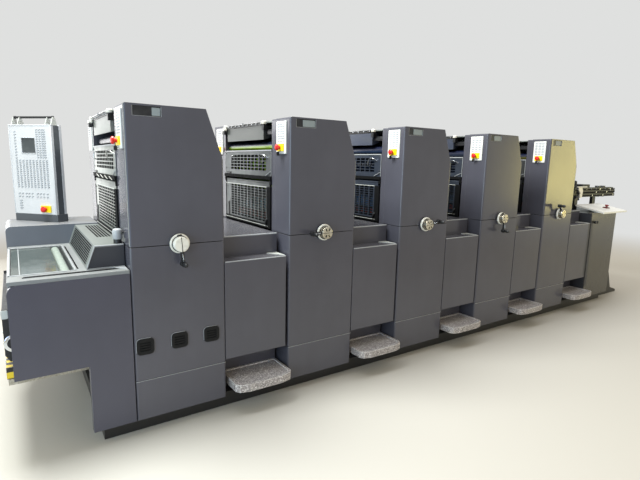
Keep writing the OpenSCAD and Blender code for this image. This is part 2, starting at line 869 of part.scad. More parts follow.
// Bars across the delivery end, carried by a dark bracket on each side panel
module delivery_end_bars() {
    x0 = -delivery_l - end_reach;
    x1 = -delivery_l + 50;
    y0 = panel_t;
    y1 = cabinet_y - panel_t;
    t = 14;
    low = end_tube_z - end_tube_r - 40;
    high = end_bar_z + end_bar_h + 10;
    color(black) placed() {
        for (y = [y0, y1 - t]) along_y(y, y + t)
            polygon([[x0 + 3, low + 30], [x0 + 3, high], [x0 + 60, high], [x1, high - 40],
                [x1, low + 70], [x0 + 60, low], [x0 + 20, low]]);
        block([x0 + 4, y0 + t, end_bar_z], [x0 + 30, y1 - t, end_bar_z + end_bar_h]);
        bar_y(x0 + end_tube_r + 1, end_tube_z, y0 + t, y1 - t, end_tube_r);
    }
}

// Striped guard bar on the free end of the delivery's pile board
module toe_guard() {
    x0 = -delivery_l - end_reach;
    z0 = board_z + board_t;
    color(yellow) placed() block([x0, pile_y0 + 10, z0],
        [x0 + toe_guard_w, cabinet_y - pile_y0 - 10, z0 + toe_guard_h]);
}

// Places the children in the console's frame: X along its face, Z up from the deck
module at_console() {
    translate([console_x, console_y, cabinet_h]) rotate([0, 0, console_turn]) children();
}

// Console cabinet on its foot
module console_cabinet() {
    color(dark_slate) placed() at_console() {
        cube([console_w, console_d, console_foot]);
        translate([6, face_t, console_foot])
            cube([console_w - 12, console_d - face_t - 10, console_h]);
    }
}

// White face of the console with the sunk place of its display
module console_face() {
    color(white) placed() at_console() difference() {
        translate([0, 0, console_foot]) cube([console_w - 6, face_t, console_h]);
        translate([0.28 * console_w, -1, console_foot + 0.69 * console_h])
            cube([0.32 * console_w, face_t / 2 + 1, 0.17 * console_h]);
    }
}

// Black bar on two brackets over the console
module console_bar() {
    z = console_foot + console_h;
    w = 34;
    inset = 26;
    r = 8;
    color(black) placed() at_console() {
        for (x = [inset, console_w - inset - w]) translate([x, 20, z])
            cube([w, w + 6, console_bar_h]);
        translate([inset + w / 2, w + 6, z + console_bar_h - r / 2]) rotate([0, 90, 0])
            cylinder(h = console_w - 2 * inset - w, r = r);
    }
}

// Side panels of the feeder
module feeder_side_panels() {
    color(slate) placed() for (y = [0, depth - panel_t])
        block([feeder_x0, y, cover_bottom], [feeder_x1, y + panel_t, feeder_h]);
}

// Pitch of the desk, and the height of its upper face at a distance from its front
desk_pitch = atan2(desk_rise, desk_d);
function desk_top(from_front) = desk_z + desk_t + from_front * desk_rise / desk_d;

// Sloping desk slab over the operator side panel, on a wedge
module feeder_desk() {
    y0 = -desk_reach;
    y1 = y0 + desk_d;
    inset = 20;
    edge = 4;
    color(white) placed() {
        along_x(desk_x0, desk_x1) polygon([[y0, desk_z], [y1, desk_z + desk_rise],
            [y1, desk_z + desk_rise + desk_t], [y0, desk_z + desk_t]]);
        along_x(desk_x0 + inset, feeder_x1 - inset) polygon([[edge, feeder_h],
            [panel_t - edge, feeder_h],
            [panel_t - edge, desk_top(desk_reach + panel_t - edge) - desk_t],
            [edge, desk_top(desk_reach + edge) - desk_t]]);
    }
}

// Height of the feed board at a distance behind the feeder's start
feed_low = riser_h - 30;
feed_high = desk_top(desk_reach + panel_t) - desk_t - fit;
feed_run = feeder_l - 100;
function feed_z(x) = feed_low + (feed_high - feed_low) * min(x, feed_run) / feed_run;

// Closed feeder body with the sloping feed board on top
module feed_board() {
    color(pale_grey) placed() along_y(panel_t, depth - panel_t)
        polygon([[feeder_x0, cover_bottom], [feeder_x1, cover_bottom],
            [feeder_x1, feed_high], [feeder_x0 + feed_run, feed_high],
            [feeder_x0, feed_low]]);
}

// Side frames of the open pile bay: an upright on a long sloping foot each
module feeder_frames() {
    y0 = panel_t + frame_t;
    upright = 70;
    upright_z = 400;
    brace_z = 240;
    brace_x = pile_l / 2;
    top = feeder_h - 13;
    color(dark_slate) placed() for (y = [y0, depth - y0 - frame_t]) along_y(y, y + frame_t)
        translate([feeder_x1, 0]) polygon([[0, 0], [pile_l - 16, 0], [pile_l - 16, 25],
            [brace_x + 70, 65], [brace_x, brace_z], [upright, upright_z],
            [upright, top], [0, top]]);
}

// Suction head on two bars between grooved side rails, which stand on the feed board
module feeder_head() {
    top = feeder_h + arm_rise;
    low = top - arm_h;
    z = top - arm_h / 2;
    x0 = feeder_x0 + 55;
    x1 = x_high - 12;
    bar_x = feeder_x1 + head_dx;
    bar_r = 14;
    y0 = desk_d - desk_reach + 7;
    foot_w = 60;
    mid = depth / 2;
    head_w = 150;
    color(steel) placed() union() {
        for (y = [y0, depth - y0 - arm_t]) difference() {
            along_y(y, y + arm_t) {
                polygon([[x0, low], [x1, low], [x1, top - 24], [x1 - 60, top], [x0, top]]);
                for (x = [x0 + 20, feeder_x1 - foot_w])
                    polygon([[x, feed_z(x - feeder_x0) + fit],
                        [x + foot_w, feed_z(x + foot_w - feeder_x0) + fit],
                        [x + foot_w, low + 1], [x, low + 1]]);
            }
            for (g = [0.3, 0.68]) translate([0, y - 1, low + g * arm_h])
                block([x0 - 1, 0, 0], [x1 + 1, 8, 12]);
        }
        for (x = [bar_x, bar_x + head_bars])
            bar_y(x, z, y0 + arm_t - 1, depth - y0 - arm_t + 1, bar_r);
        block([bar_x - 30, mid - head_w, z - 34],
            [bar_x + head_bars + 30, mid + head_w, z + 70]);
        for (y = [-3, -1, 1, 3]) translate([bar_x - 18, mid + y * head_w / 4, z - 90])
            cylinder(h = 60, r = 8);
    }
}

// Pile board of the feeder, with lugs that run on the side frames
module feeder_pile_board() {
    frame_in = panel_t + 2 * frame_t;
    lug = 40;
    z1 = feeder_board_z + board_t;
    color("#a98a5c") placed() union() {
        block([feeder_x1, inner_y0, feeder_board_z], [x_high, inner_y1, z1]);
        for (x = [20, 130]) translate([feeder_x1 + x, 0, 0])
            block([0, frame_in + fit, feeder_board_z], [lug, depth - frame_in - fit, z1]);
    }
}

base_plinth();
lower_bodies();
operator_frames();
drive_frames();
toe_covers();
middle_covers();
upper_covers();
drive_side_covers();
top_guards();
link_panels();
link_housings();
step_plates();
key_panels();
stop_collars();
stop_buttons();
display_panes();
vent_grilles();
ink_ducts();
upper_guards();
guard_rails();
lower_guard(1);  // lower_guard_1
lower_guard(2);  // lower_guard_2
lower_guard(3);  // lower_guard_3
lower_guard(4);  // lower_guard_4
lower_guard(5);  // lower_guard_5
ink_rollers();
steel_cylinders();
blanket_cylinders();
handwheel_spindles();
handwheel(1);  // handwheel_1
handwheel(2);  // handwheel_2
handwheel(3);  // handwheel_3
handwheel(4);  // handwheel_4
handwheel(5);  // handwheel_5
delivery_side_panels();
delivery_top();
delivery_roller();
delivery_hood();
hood_side_plates();
delivery_cabinet();
delivery_pile_board();
delivery_end_bars();
toe_guard();
console_cabinet();
console_face();
console_bar();
feeder_side_panels();
feeder_desk();
feed_board();
feeder_frames();
feeder_head();
feeder_pile_board();
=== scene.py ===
"""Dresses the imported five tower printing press: finishes for every solid and the small parts.

Shapes are worked out in millimetres in the press's own place. X runs from the first tower's
delivery side face towards the feeder, Y runs back from the front of the operator side covers
and Z is up from the floor.
"""

import math

import bpy
import numpy as np
from bpy.props import FloatProperty, FloatVectorProperty, IntProperty, PointerProperty
from mathutils import Matrix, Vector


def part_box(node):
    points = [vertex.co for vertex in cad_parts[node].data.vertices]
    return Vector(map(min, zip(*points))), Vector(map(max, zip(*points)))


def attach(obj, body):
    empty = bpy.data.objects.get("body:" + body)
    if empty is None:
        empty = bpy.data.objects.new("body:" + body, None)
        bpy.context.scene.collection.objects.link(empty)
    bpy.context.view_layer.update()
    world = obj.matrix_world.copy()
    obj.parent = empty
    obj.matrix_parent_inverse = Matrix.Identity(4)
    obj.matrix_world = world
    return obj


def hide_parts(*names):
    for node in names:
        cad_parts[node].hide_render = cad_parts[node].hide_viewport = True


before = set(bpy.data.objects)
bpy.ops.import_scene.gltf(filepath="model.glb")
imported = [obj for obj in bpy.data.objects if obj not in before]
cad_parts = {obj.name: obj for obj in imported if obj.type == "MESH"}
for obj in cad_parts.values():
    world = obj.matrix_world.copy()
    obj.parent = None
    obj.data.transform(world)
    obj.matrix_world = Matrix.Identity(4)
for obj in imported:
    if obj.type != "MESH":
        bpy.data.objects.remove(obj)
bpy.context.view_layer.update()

bl_info = {
    "name": "Printing Press Dressing",
    "version": (1, 0, 0),
    "blender": (4, 5, 0),
    "location": "3D Viewport > Sidebar > Press",
    "description": "Finishes and small parts of a five tower printing press",
    "category": "Object",
}

MM = 0.001
TOWERS = 5
COVERS_LOW, COVERS_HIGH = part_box("toe_covers")
ZERO = np.array([COVERS_LOW.x, COVERS_LOW.y, 0.0])
PITCH = (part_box("lower_guard_2")[0].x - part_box("lower_guard_1")[0].x) / MM
TOWER_W = (COVERS_HIGH.x - COVERS_LOW.x) / MM - (TOWERS - 1) * PITCH
KEY_PANEL_W, KEY_PITCH = 110.0, 13.6
LEVER_X = 4470.0
SHARP_ANGLE, BEVEL_ANGLE = math.radians(32), math.radians(35)


def linear(code):
    """Linear colour, with an alpha of one, of an sRGB colour written as six hex digits."""
    parts = [int(code[i:i + 2], 16) / 255 for i in (0, 2, 4)]
    return [c / 12.92 if c <= 0.04045 else ((c + 0.055) / 1.055) ** 2.4 for c in parts] + [1.0]


def paint_colour(label, note, code):
    """Colour property of one paint, which a user can change in the sidebar."""
    return FloatVectorProperty(name=label, description=note, subtype="COLOR", size=4,
                               min=0.0, max=1.0, default=linear(code))


class PressColours(bpy.types.PropertyGroup):
    """Colours of the paints, plastics and inks."""

    slate: paint_colour("Slate paint", "Paint of covers and panels", "464751")
    dark: paint_colour("Dark paint", "Paint of bodies and hood sides", "303239")
    grey: paint_colour("Grey paint", "Paint of top covers, hood and feed board", "7f8685")
    white: paint_colour("White paint", "Key panels and desk", "dde1e2")
    yellow: paint_colour("Yellow plastic", "Collars of the stops", "e8cc12")
    red: paint_colour("Red plastic", "Buttons of the stops", "c4201b")
    green_ink: paint_colour("Green ink", "Ink in the second tower", "8fb81e")
    blanket: paint_colour("Blanket rubber", "Skin of the blanket cylinders", "b0e6f8")


class PressSizes(bpy.types.PropertyGroup):
    """Sizes of the small parts."""

    edge: FloatProperty(name="Edge radius", description="Rounding of the small parts' edges",
                        default=0.0008, min=0.0, subtype="DISTANCE", unit="LENGTH")
    key_rows: IntProperty(name="Rows of keys", description="Rows of keys on a key panel",
                          default=8, min=1)
    stripe: FloatProperty(name="Stripe pitch", description="Pitch of the guard bar's stripes",
                          default=0.058, min=0.01, subtype="DISTANCE", unit="LENGTH")


# Shapes: each is a pair of points in millimetres and faces, worked out as whole arrays.

def joined(*shapes):
    """One shape from several: their points in one array, their faces counted on."""
    points, faces, start = [], [], 0
    for verts, polys in shapes:
        points.append(verts)
        faces += [tuple(i + start for i in f) for f in polys]
        start += len(verts)
    return np.concatenate(points), faces


def repeated(shape, offsets):
    """The same shape at every offset: points plus offset, faces counted on per copy."""
    verts, polys = shape
    offsets = np.asarray(offsets, float)
    points = (verts[None] + offsets[:, None]).reshape(-1, 3)
    faces = [tuple(i + k * len(verts) for i in f) for k in range(len(offsets)) for f in polys]
    return points, faces


def turned_about_y(shape, centre, degrees):
    """Turns a shape about a line along Y through centre, by the usual rotation in X and Z."""
    verts, faces = shape
    a = math.radians(degrees)
    d = verts - np.asarray(centre, float)
    x = d[:, 0] * math.cos(a) + d[:, 2] * math.sin(a)
    z = d[:, 2] * math.cos(a) - d[:, 0] * math.sin(a)
    return np.stack([x, d[:, 1], z], 1) + centre, faces


def carried(outline, start, end, across):
    """A closed outline carried straight from start to end, with both ends closed.

    An outline point (a, b) stands at the path's point plus a times the across direction plus b
    times the direction that completes a right-handed set with it and the path.
    """
    outline = np.asarray(outline, float)
    x, y = outline.T
    if np.sum(x * np.roll(y, -1) - np.roll(x, -1) * y) < 0:
        outline = outline[::-1]
    start, end = np.asarray(start, float), np.asarray(end, float)
    along = (end - start) / np.linalg.norm(end - start)
    across = np.asarray(across, float)
    up = np.cross(along, across)
    ring = outline[:, :1] * across + outline[:, 1:] * up
    n = len(ring)
    i = np.arange(n)
    j = (i + 1) % n
    sides = np.stack([i, j, j + n, i + n], 1)
    faces = [tuple(f) for f in sides.tolist()]
    faces += [tuple(range(n - 1, -1, -1)), tuple(range(n, 2 * n))]
    return np.concatenate([start + ring, end + ring]), faces


def rounded(width, height, radius, steps=4):
    """Outline of a rectangle about the origin whose corners are quarter circles."""
    t = np.linspace(0, math.pi / 2, steps)
    corners = []
    for k, (sx, sy) in enumerate(((1, 1), (-1, 1), (-1, -1), (1, -1))):
        cx, cy = sx * (width / 2 - radius), sy * (height / 2 - radius)
        a = t + k * math.pi / 2
        corners.append(np.stack([cx + radius * np.cos(a), cy + radius * np.sin(a)], 1))
    return np.concatenate(corners)


def plate(low, high, axis, radius=1.5, steps=4):
    """Plate between two corners, its outline rounded in the plane square to the axis."""
    low, high = np.minimum(low, high).astype(float), np.maximum(low, high).astype(float)
    k = "xyz".index(axis)
    a, b = (k + 1) % 3, (k + 2) % 3
    mid, size = (low + high) / 2, high - low
    start, end, across = mid.copy(), mid.copy(), np.zeros(3)
    start[k], end[k], across[a] = low[k], high[k], 1.0
    radius = min(radius, 0.49 * size[a], 0.49 * size[b])
    return carried(rounded(size[a], size[b], radius, steps), start, end, across)


def plates(axis, radius, *spans):
    """Several plates as one shape, each between its two corners."""
    return joined(*[plate(low, high, axis, radius) for low, high in spans])


def turned(profile, centre, axis, sides=28):
    """A profile of (radius, height) points turned about an axis through the centre.

    A point at angle t lies at centre + radius * (u cos t + v sin t) + height * axis. The
    profile starts and ends on the axis, where the rings close in one point.
    """
    axis = np.asarray(axis, float)
    u = np.cross(axis, [0.3, 0.5, 0.81])
    u /= np.linalg.norm(u)
    v = np.cross(axis, u)
    t = np.linspace(0, 2 * math.pi, sides, endpoint=False)
    circle = np.cos(t)[:, None] * u + np.sin(t)[:, None] * v
    rings = np.asarray(profile, float)[1:-1]
    body = np.asarray(centre, float) + rings[:, :1, None] * circle + rings[:, 1:, None] * axis
    ends = [np.asarray(centre, float) + profile[k][1] * axis for k in (0, -1)]
    n, rows = sides, len(rings)
    i = np.arange(n)
    j = (i + 1) % n
    r = np.arange(rows - 1)[:, None] * n
    quads = np.stack([r + i, r + j, r + n + j, r + n + i], 2).reshape(-1, 4)
    last = (rows - 1) * n
    low = np.stack([np.full(n, rows * n), j, i], 1)
    high = np.stack([np.full(n, rows * n + 1), last + i, last + j], 1)
    faces = [tuple(f) for f in quads.tolist() + low.tolist() + high.tolist()]
    return np.concatenate([body.reshape(-1, 3), ends]), faces


def drum(centre, axis, radius, low, high, sides):
    """Plain round solid between two heights along an axis through the centre."""
    return turned([(0, low), (radius, low), (radius, high), (0, high)], centre, axis, sides)


def rod(path, radius, sides=12):
    """A circle carried along a bent path, each ring square to the path there, ends closed."""
    path = np.asarray(path, float)
    tangent = np.gradient(path, axis=0)
    tangent /= np.linalg.norm(tangent, axis=1)[:, None]
    guide = np.array([0.31, 0.17, 0.93])
    u = np.cross(tangent, guide)
    u /= np.linalg.norm(u, axis=1)[:, None]
    v = np.cross(tangent, u)
    t = np.linspace(0, 2 * math.pi, sides, endpoint=False)
    rings = path[:, None] + radius * (np.cos(t)[None, :, None] * u[:, None]
                                      + np.sin(t)[None, :, None] * v[:, None])
    n, rows = sides, len(path)
    i = np.arange(n)
    j = (i + 1) % n
    r = np.arange(rows - 1)[:, None] * n
    quads = np.stack([r + i, r + j, r + n + j, r + n + i], 2).reshape(-1, 4)
    faces = [tuple(f) for f in quads.tolist()]
    faces += [tuple(range(n - 1, -1, -1)), tuple(range((rows - 1) * n, rows * n))]
    return rings.reshape(-1, 3), faces


def straight(start, end, radius, sides=12):
    """Straight round bar, with one ring halfway."""
    return rod([start, (np.asarray(start) + end) / 2, end], radius, sides)


def curve_through(points, steps=6):
    """Smooth path through points: between two of them the cubic that keeps the slope."""
    p = np.asarray(points, float)
    slope = np.gradient(p, axis=0)
    t = np.linspace(0, 1, steps, endpoint=False)[None, :, None]
    a, b, m, n = p[:-1, None], p[1:, None], slope[:-1, None], slope[1:, None]
    path = ((2 * t**3 - 3 * t**2 + 1) * a + (t**3 - 2 * t**2 + t) * m
            + (3 * t**2 - 2 * t**3) * b + (t**3 - t**2) * n)
    return np.concatenate([path.reshape(-1, 3), p[-1:]])


def screw(at, axis, radius):
    """Pan head of a screw that stands on a face, with the face's outward direction as axis."""
    h = radius * 0.7
    return turned([(0, -0.5), (radius, -0.5), (radius, h * 0.5), (radius * 0.8, h * 0.9),
                   (radius * 0.35, h), (radius * 0.3, h * 0.6), (0, h * 0.6)], at, axis, 12)


def piece(name, parts, body="press_body", edge=None, replaces=()):
    """Makes one object from pairs of a finish's key and a shape, and lets it ride on a body."""
    verts, faces = joined(*[shape for _, shape in parts])
    mesh = bpy.data.meshes.new(name)
    mesh.from_pydata((verts * MM + ZERO).tolist(), [], faces)
    keys = list(dict.fromkeys(key for key, _ in parts))
    for key in keys:
        mesh.materials.append(FINISH[key])
    index = [keys.index(key) for key, shape in parts for _ in shape[1]]
    mesh.polygons.foreach_set("material_index", index)
    mesh.polygons.foreach_set("use_smooth", np.ones(len(faces), bool))
    mesh.set_sharp_from_angle(angle=SHARP_ANGLE)
    mesh.update()
    obj = bpy.data.objects.new(name, mesh)
    bpy.context.scene.collection.objects.link(obj)
    edge = bpy.context.scene.press_sizes.edge if edge is None else edge
    if edge:
        bevel = obj.modifiers.new("Rounded edges", "BEVEL")
        bevel.width = edge
        bevel.segments = 2
        bevel.limit_method = "ANGLE"
        bevel.angle_limit = BEVEL_ANGLE
        bevel.harden_normals = True
    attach(obj, body)
    if replaces:
        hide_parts(*replaces)
    return obj


# Materials. Sizes of patterns are real ones in millimetres; object coordinates are in metres.

COLOURS = {"data_type": "RGBA"}
TIMES = {"data_type": "RGBA", "blend_type": "MULTIPLY"}


def add(tree, kind, inputs, out=0, **settings):
    """Adds one node with its settings and gives back one of its output sockets.

    Each input, by name or number, is set to a value or joined to another node's socket.
    """
    node = tree.nodes.new("ShaderNode" + kind)
    for key, value in settings.items():
        setattr(node, key, value)
    for key, value in inputs.items():
        if isinstance(value, bpy.types.NodeSocket):
            tree.links.new(value, node.inputs[key])
        else:
            node.inputs[key].default_value = value
    return node.outputs[out]


def new_finish(name, colour, rough, metal=0.0):
    """A material with its shader, and the object coordinates that its patterns read."""
    finish = bpy.data.materials.new(name)
    finish.use_nodes = True
    tree = finish.node_tree
    shader = tree.nodes["Principled BSDF"]
    shader.inputs["Base Color"].default_value = colour
    shader.inputs["Roughness"].default_value = rough
    shader.inputs["Metallic"].default_value = metal
    finish.diffuse_color = colour
    return finish, tree, shader, add(tree, "TexCoord", {}, "Object")


def join(tree, shader, **sockets):
    """Joins sockets to the shader's inputs; Base_Color stands for Base Color."""
    for key, socket in sockets.items():
        tree.links.new(socket, shader.inputs[key.replace("_", " ")])


def blotches(tree, place, size, low, high, to=(0.0, 1.0), stretch=(1, 1, 1), detail=4.0):
    """Cloudy patches about size millimetres across, drawn out along an axis by stretch.

    The noise's values from low to high are spread smoothly over the span named by to.
    """
    drawn = add(tree, "Mapping", {"Vector": place, "Scale": stretch})
    noise = add(tree, "TexNoise", {"Vector": drawn, "Scale": 1000.0 / size, "Detail": detail,
                                   "Roughness": 0.6})
    return add(tree, "MapRange", {"Value": noise, "From Min": low, "From Max": high,
                                  "To Min": to[0], "To Max": to[1]},
               interpolation_type="SMOOTHSTEP")


def patched(tree, place, tone, code, *cloud):
    """Patches of a second colour over a tone, as of grime or ink, laid out as blotches are."""
    mask = blotches(tree, place, *cloud)
    return add(tree, "Mix", {0: mask, 6: tone, 7: linear(code)}, 2, **COLOURS)


def rounded_edges(tree, radius):
    """Normal over edges rounded by radius millimetres, and a value of one on such an edge."""
    soft = add(tree, "Bevel", {"Radius": radius * MM}, samples=4)
    flat = add(tree, "NewGeometry", {}, "Normal")
    agree = add(tree, "VectorMath", {0: soft, 1: flat}, "Value", operation="DOT_PRODUCT")
    return soft, add(tree, "MapRange", {"Value": agree, "From Min": 0.995, "From Max": 0.9})


def settled_dust(tree, place, amount):
    """Dust on what faces up, thinner in patches, from nought to amount."""
    normal = add(tree, "NewGeometry", {}, "Normal")
    rise = add(tree, "SeparateXYZ", {0: normal}, "Z")
    level = add(tree, "MapRange", {"Value": rise, "From Min": 0.6, "From Max": 0.98})
    patches = blotches(tree, place, 160, 0.3, 0.7, (0.4 * amount, amount))
    return add(tree, "Math", {0: level, 1: patches}, operation="MULTIPLY")


def by_tower(tree, place, tones):
    """One tone for each tower and one for the feeder, told apart by a place's X."""
    along = add(tree, "SeparateXYZ", {0: place}, "X")
    tone = tones[0]
    for k in range(1, len(tones)):
        past = add(tree, "Math", {0: along, 1: float(ZERO[0] + (k - 0.25) * PITCH * MM)},
                   operation="GREATER_THAN")
        tone = add(tree, "Mix", {0: past, 6: tone, 7: tones[k]}, 2, **COLOURS)
    return tone


def sprayed_paint(name, colour, rough, dust=0.2, worn=0.35, soft=2.5, metal=0.0):
    """Sprayed enamel on sheet steel.

    Broad clouds and drawn-out wipe marks vary tone and gloss, a fine orange peel breaks the
    reflections, edges are rounded and lightened in patches, partly as wear and partly as a painted
    highlight, and dust lies on what faces up.
    """
    finish, tree, shader, place = new_finish(name, colour, rough, metal)
    wear_and_highlight_tone = [min(1.0, 0.25 + 0.9 * c) for c in colour[:3]] + [1.0]
    normal, edge = rounded_edges(tree, soft)
    cloud = blotches(tree, place, 550, 0.25, 0.75, (0.92, 1.08))
    wiped = blotches(tree, place, 90, 0.3, 0.7, (0.98, 1.02), (1, 1, 0.2), 2.0)
    tone = add(tree, "Mix", {0: 1.0, 6: colour, 7: cloud}, 2, **TIMES)
    tone = add(tree, "Mix", {0: 1.0, 6: tone, 7: wiped}, 2, **TIMES)
    # Lighter edges in patches: partly wear, partly a painted highlight on the rounded edges
    chipped = blotches(tree, place, 30, 0.35, 0.62, (0.0, worn))
    worn_and_highlit_edges = add(tree, "Math", {0: edge, 1: chipped}, operation="MULTIPLY")
    tone = add(tree, "Mix", {0: worn_and_highlit_edges, 6: tone, 7: wear_and_highlight_tone}, 2, **COLOURS)
    film = settled_dust(tree, place, dust)
    tone = add(tree, "Mix", {0: film, 6: tone, 7: linear("7d7a72")}, 2, **COLOURS)
    gloss = blotches(tree, place, 400, 0.25, 0.75, (rough * 0.92, rough * 1.1))
    dulled = add(tree, "Math", {0: film, 1: 0.4, 2: gloss}, operation="MULTIPLY_ADD")
    # Orange peel is about 1 mm across on the real paint; drawn at 1.6 mm so that it shows
    peel = add(tree, "TexNoise", {"Vector": place, "Scale": 1000.0 / 1.6, "Detail": 1.0})
    bump = add(tree, "Bump", {"Strength": 0.04, "Distance": 0.4 * MM, "Height": peel,
                              "Normal": normal})
    join(tree, shader, Base_Color=tone, Roughness=dulled, Normal=bump)
    return finish


def punched_sheet(name, rough, tones):
    """Silver lacquer on punched sheet, palest on the first tower and darker behind as painted
    shade; cut edges are painted near black as the shade inside the slots.

    A cut edge is where the piece's own normal has little of the press's long direction in it.
    """
    finish, tree, shader, place = new_finish(name, tones[0], rough, 0.5)
    # Painted shade: faces with little X in their normal, the slots' walls, go near black
    facing = add(tree, "SeparateXYZ", {0: add(tree, "TexCoord", {}, "Normal")}, "X")
    square = add(tree, "Math", {0: facing}, operation="ABSOLUTE")
    flat = add(tree, "MapRange", {"Value": square, "From Min": 0.3, "From Max": 0.6})
    cloud = blotches(tree, place, 120, 0.3, 0.7, (0.9, 1.1))
    # Painted light: one tone per tower, palest on the first, as the light falls off along the
    # press
    tone = add(tree, "Mix", {0: 1.0, 6: by_tower(tree, place, tones), 7: cloud}, 2, **TIMES)
    tone = patched(tree, place, tone, "3a3d40", 40, 0.5, 0.75, (0.0, 0.5), (1, 0.3, 1))
    tone = add(tree, "Mix", {0: flat, 6: linear("0d0e10"), 7: tone}, 2, **COLOURS)
    gloss = blotches(tree, place, 60, 0.3, 0.7, (rough * 0.85, rough * 1.2))
    join(tree, shader, Base_Color=tone, Roughness=gloss)
    return finish


def moulded_plastic(name, colour, rough, grain=0.08, at_feeder=None, shine=0.5):
    """Moulded plastic: the fine eroded grain of the mould, and grime from handling."""
    finish, tree, shader, place = new_finish(name, colour, rough)
    shader.inputs["Specular IOR Level"].default_value = shine
    if at_feeder:
        colour = by_tower(tree, place, [colour] * TOWERS + [at_feeder])
    grime = blotches(tree, place, 30, 0.35, 0.75, (1.06, 0.88))
    tone = add(tree, "Mix", {0: 1.0, 6: colour, 7: grime}, 2, **TIMES)
    gloss = blotches(tree, place, 20, 0.3, 0.7, (rough * 0.85, rough * 1.25))
    normal, _ = rounded_edges(tree, 1.0)
    # Mould grain is about 0.3 mm; drawn at 0.7 mm, the finest that a near view shows
    pits = add(tree, "TexNoise", {"Vector": place, "Scale": 1000.0 / 0.7, "Detail": 2.0})
    bump = add(tree, "Bump", {"Strength": grain, "Distance": 0.3 * MM, "Height": pits,
                              "Normal": normal})
    join(tree, shader, Base_Color=tone, Roughness=gloss, Normal=bump)
    return finish


def ground_steel(name, colour, rough, stretch=(1, 0.02, 1), stain=0.2):
    """Ground or turned steel: fine lines along the grinding, and thin dark films of oil."""
    finish, tree, shader, place = new_finish(name, colour, rough, 1.0)
    # Grinding lines are about 0.2 mm; drawn at 1.2 mm so that they don't flicker
    lines = blotches(tree, place, 1.2, 0.25, 0.75, (0.0, 1.0), stretch)
    tone = patched(tree, place, colour, "3b3630", 50, 0.42, 0.7, (0.0, stain))
    gloss = add(tree, "Math", {0: lines, 1: rough * 0.6, 2: rough * 0.7},
                operation="MULTIPLY_ADD")
    normal, _ = rounded_edges(tree, 1.2)
    bump = add(tree, "Bump", {"Strength": 0.12, "Distance": 0.2 * MM, "Height": lines,
                              "Normal": normal})
    join(tree, shader, Base_Color=tone, Roughness=gloss, Normal=bump)
    return finish


def hammered_tread(name, colour):
    """Cast aluminium with a hammered top: cells, grime and bright pits, and a worn rim."""
    finish, tree, shader, place = new_finish(name, colour, 0.45, 0.3)
    cells = add(tree, "TexVoronoi", {"Vector": place, "Scale": 1000.0 / 11.0},
                feature="SMOOTH_F1")
    tone = patched(tree, place, colour, "8b888b", 45, 0.4, 0.68, (0.0, 0.4))
    tone = patched(tree, place, tone, "e9e8ea", 9, 0.5, 0.62, (0.0, 0.7))
    tone = patched(tree, place, tone, "5c585a", 7, 0.5, 0.42, (0.0, 0.75))
    normal, edge = rounded_edges(tree, 4.0)
    rim = add(tree, "Math", {0: edge, 1: 0.9}, operation="MULTIPLY")
    tone = add(tree, "Mix", {0: rim, 6: tone, 7: linear("fbfafa")}, 2, **COLOURS)
    bump = add(tree, "Bump", {"Strength": 0.55, "Distance": 1.2 * MM, "Height": cells,
                              "Normal": normal})
    gloss = blotches(tree, place, 45, 0.4, 0.68, (0.4, 0.7))
    join(tree, shader, Base_Color=tone, Roughness=gloss, Normal=bump)
    return finish


def inked_rollers(name, inks):
    """Rubber rollers under wet ink, another ink in each tower, with fine rings round them.

    The topmost rollers are painted dark blue above a height, as shade where the duct keeps the
    light off.
    """
    finish, tree, shader, place = new_finish(name, inks[0], 0.22)
    film = blotches(tree, place, 90, 0.35, 0.65, (0.55, 1.0), (1, 0.3, 1))
    tone = add(tree, "Mix", {0: film, 6: linear("15171a"), 7: by_tower(tree, place, inks)}, 2,
               **COLOURS)
    # Painted shade: above this height the rollers go dark blue, where the duct keeps the light off
    height = add(tree, "SeparateXYZ", {0: place}, "Z")
    shade_above = add(tree, "MapRange", {"Value": height, "From Min": 1488 * MM, "From Max": 1500 * MM})
    tone = add(tree, "Mix", {0: shade_above, 6: tone, 7: linear("191e33")}, 2, **COLOURS)
    rings = blotches(tree, place, 1.6, 0.0, 1.0, stretch=(0.02, 1, 0.02))
    bump = add(tree, "Bump", {"Strength": 0.25, "Distance": 0.3 * MM, "Height": rings})
    join(tree, shader, Base_Color=tone, Normal=bump)
    return finish


def rubber_blanket(name, tones):
    """Ground rubber blanket: a tinted band with a dried pale print on it, near black above, below
    and beside the band.
    """
    finish, tree, shader, place = new_finish(name, tones[0], 0.5)
    tone = patched(tree, place, by_tower(tree, place, tones), "d8e4e6", 40, 0.45, 0.62,
                   (0.0, 0.45), (1, 0.6, 1))
    height = add(tree, "SeparateXYZ", {0: place}, "Z")
    across = add(tree, "SeparateXYZ", {0: place}, "Y")
    above = add(tree, "MapRange", {"Value": height, "From Min": 1084 * MM, "From Max": 1092 * MM})
    below = add(tree, "MapRange", {"Value": height, "From Min": 1158 * MM, "From Max": 1150 * MM})
    beside = add(tree, "MapRange", {"Value": across, "From Min": float(ZERO[1] + 740 * MM),
                                    "From Max": float(ZERO[1] + 690 * MM)})
    band = add(tree, "Math", {0: above, 1: below}, operation="MULTIPLY")
    band = add(tree, "Math", {0: band, 1: beside}, operation="MULTIPLY")
    tone = add(tree, "Mix", {0: band, 6: linear("15191f"), 7: tone}, 2, **COLOURS)
    # The ground nap is about 0.1 mm; drawn at 0.6 mm
    nap = add(tree, "TexNoise", {"Vector": place, "Scale": 1000.0 / 0.6, "Detail": 2.0})
    bump = add(tree, "Bump", {"Strength": 0.1, "Distance": 0.2 * MM, "Height": nap})
    join(tree, shader, Base_Color=tone, Normal=bump)
    return finish


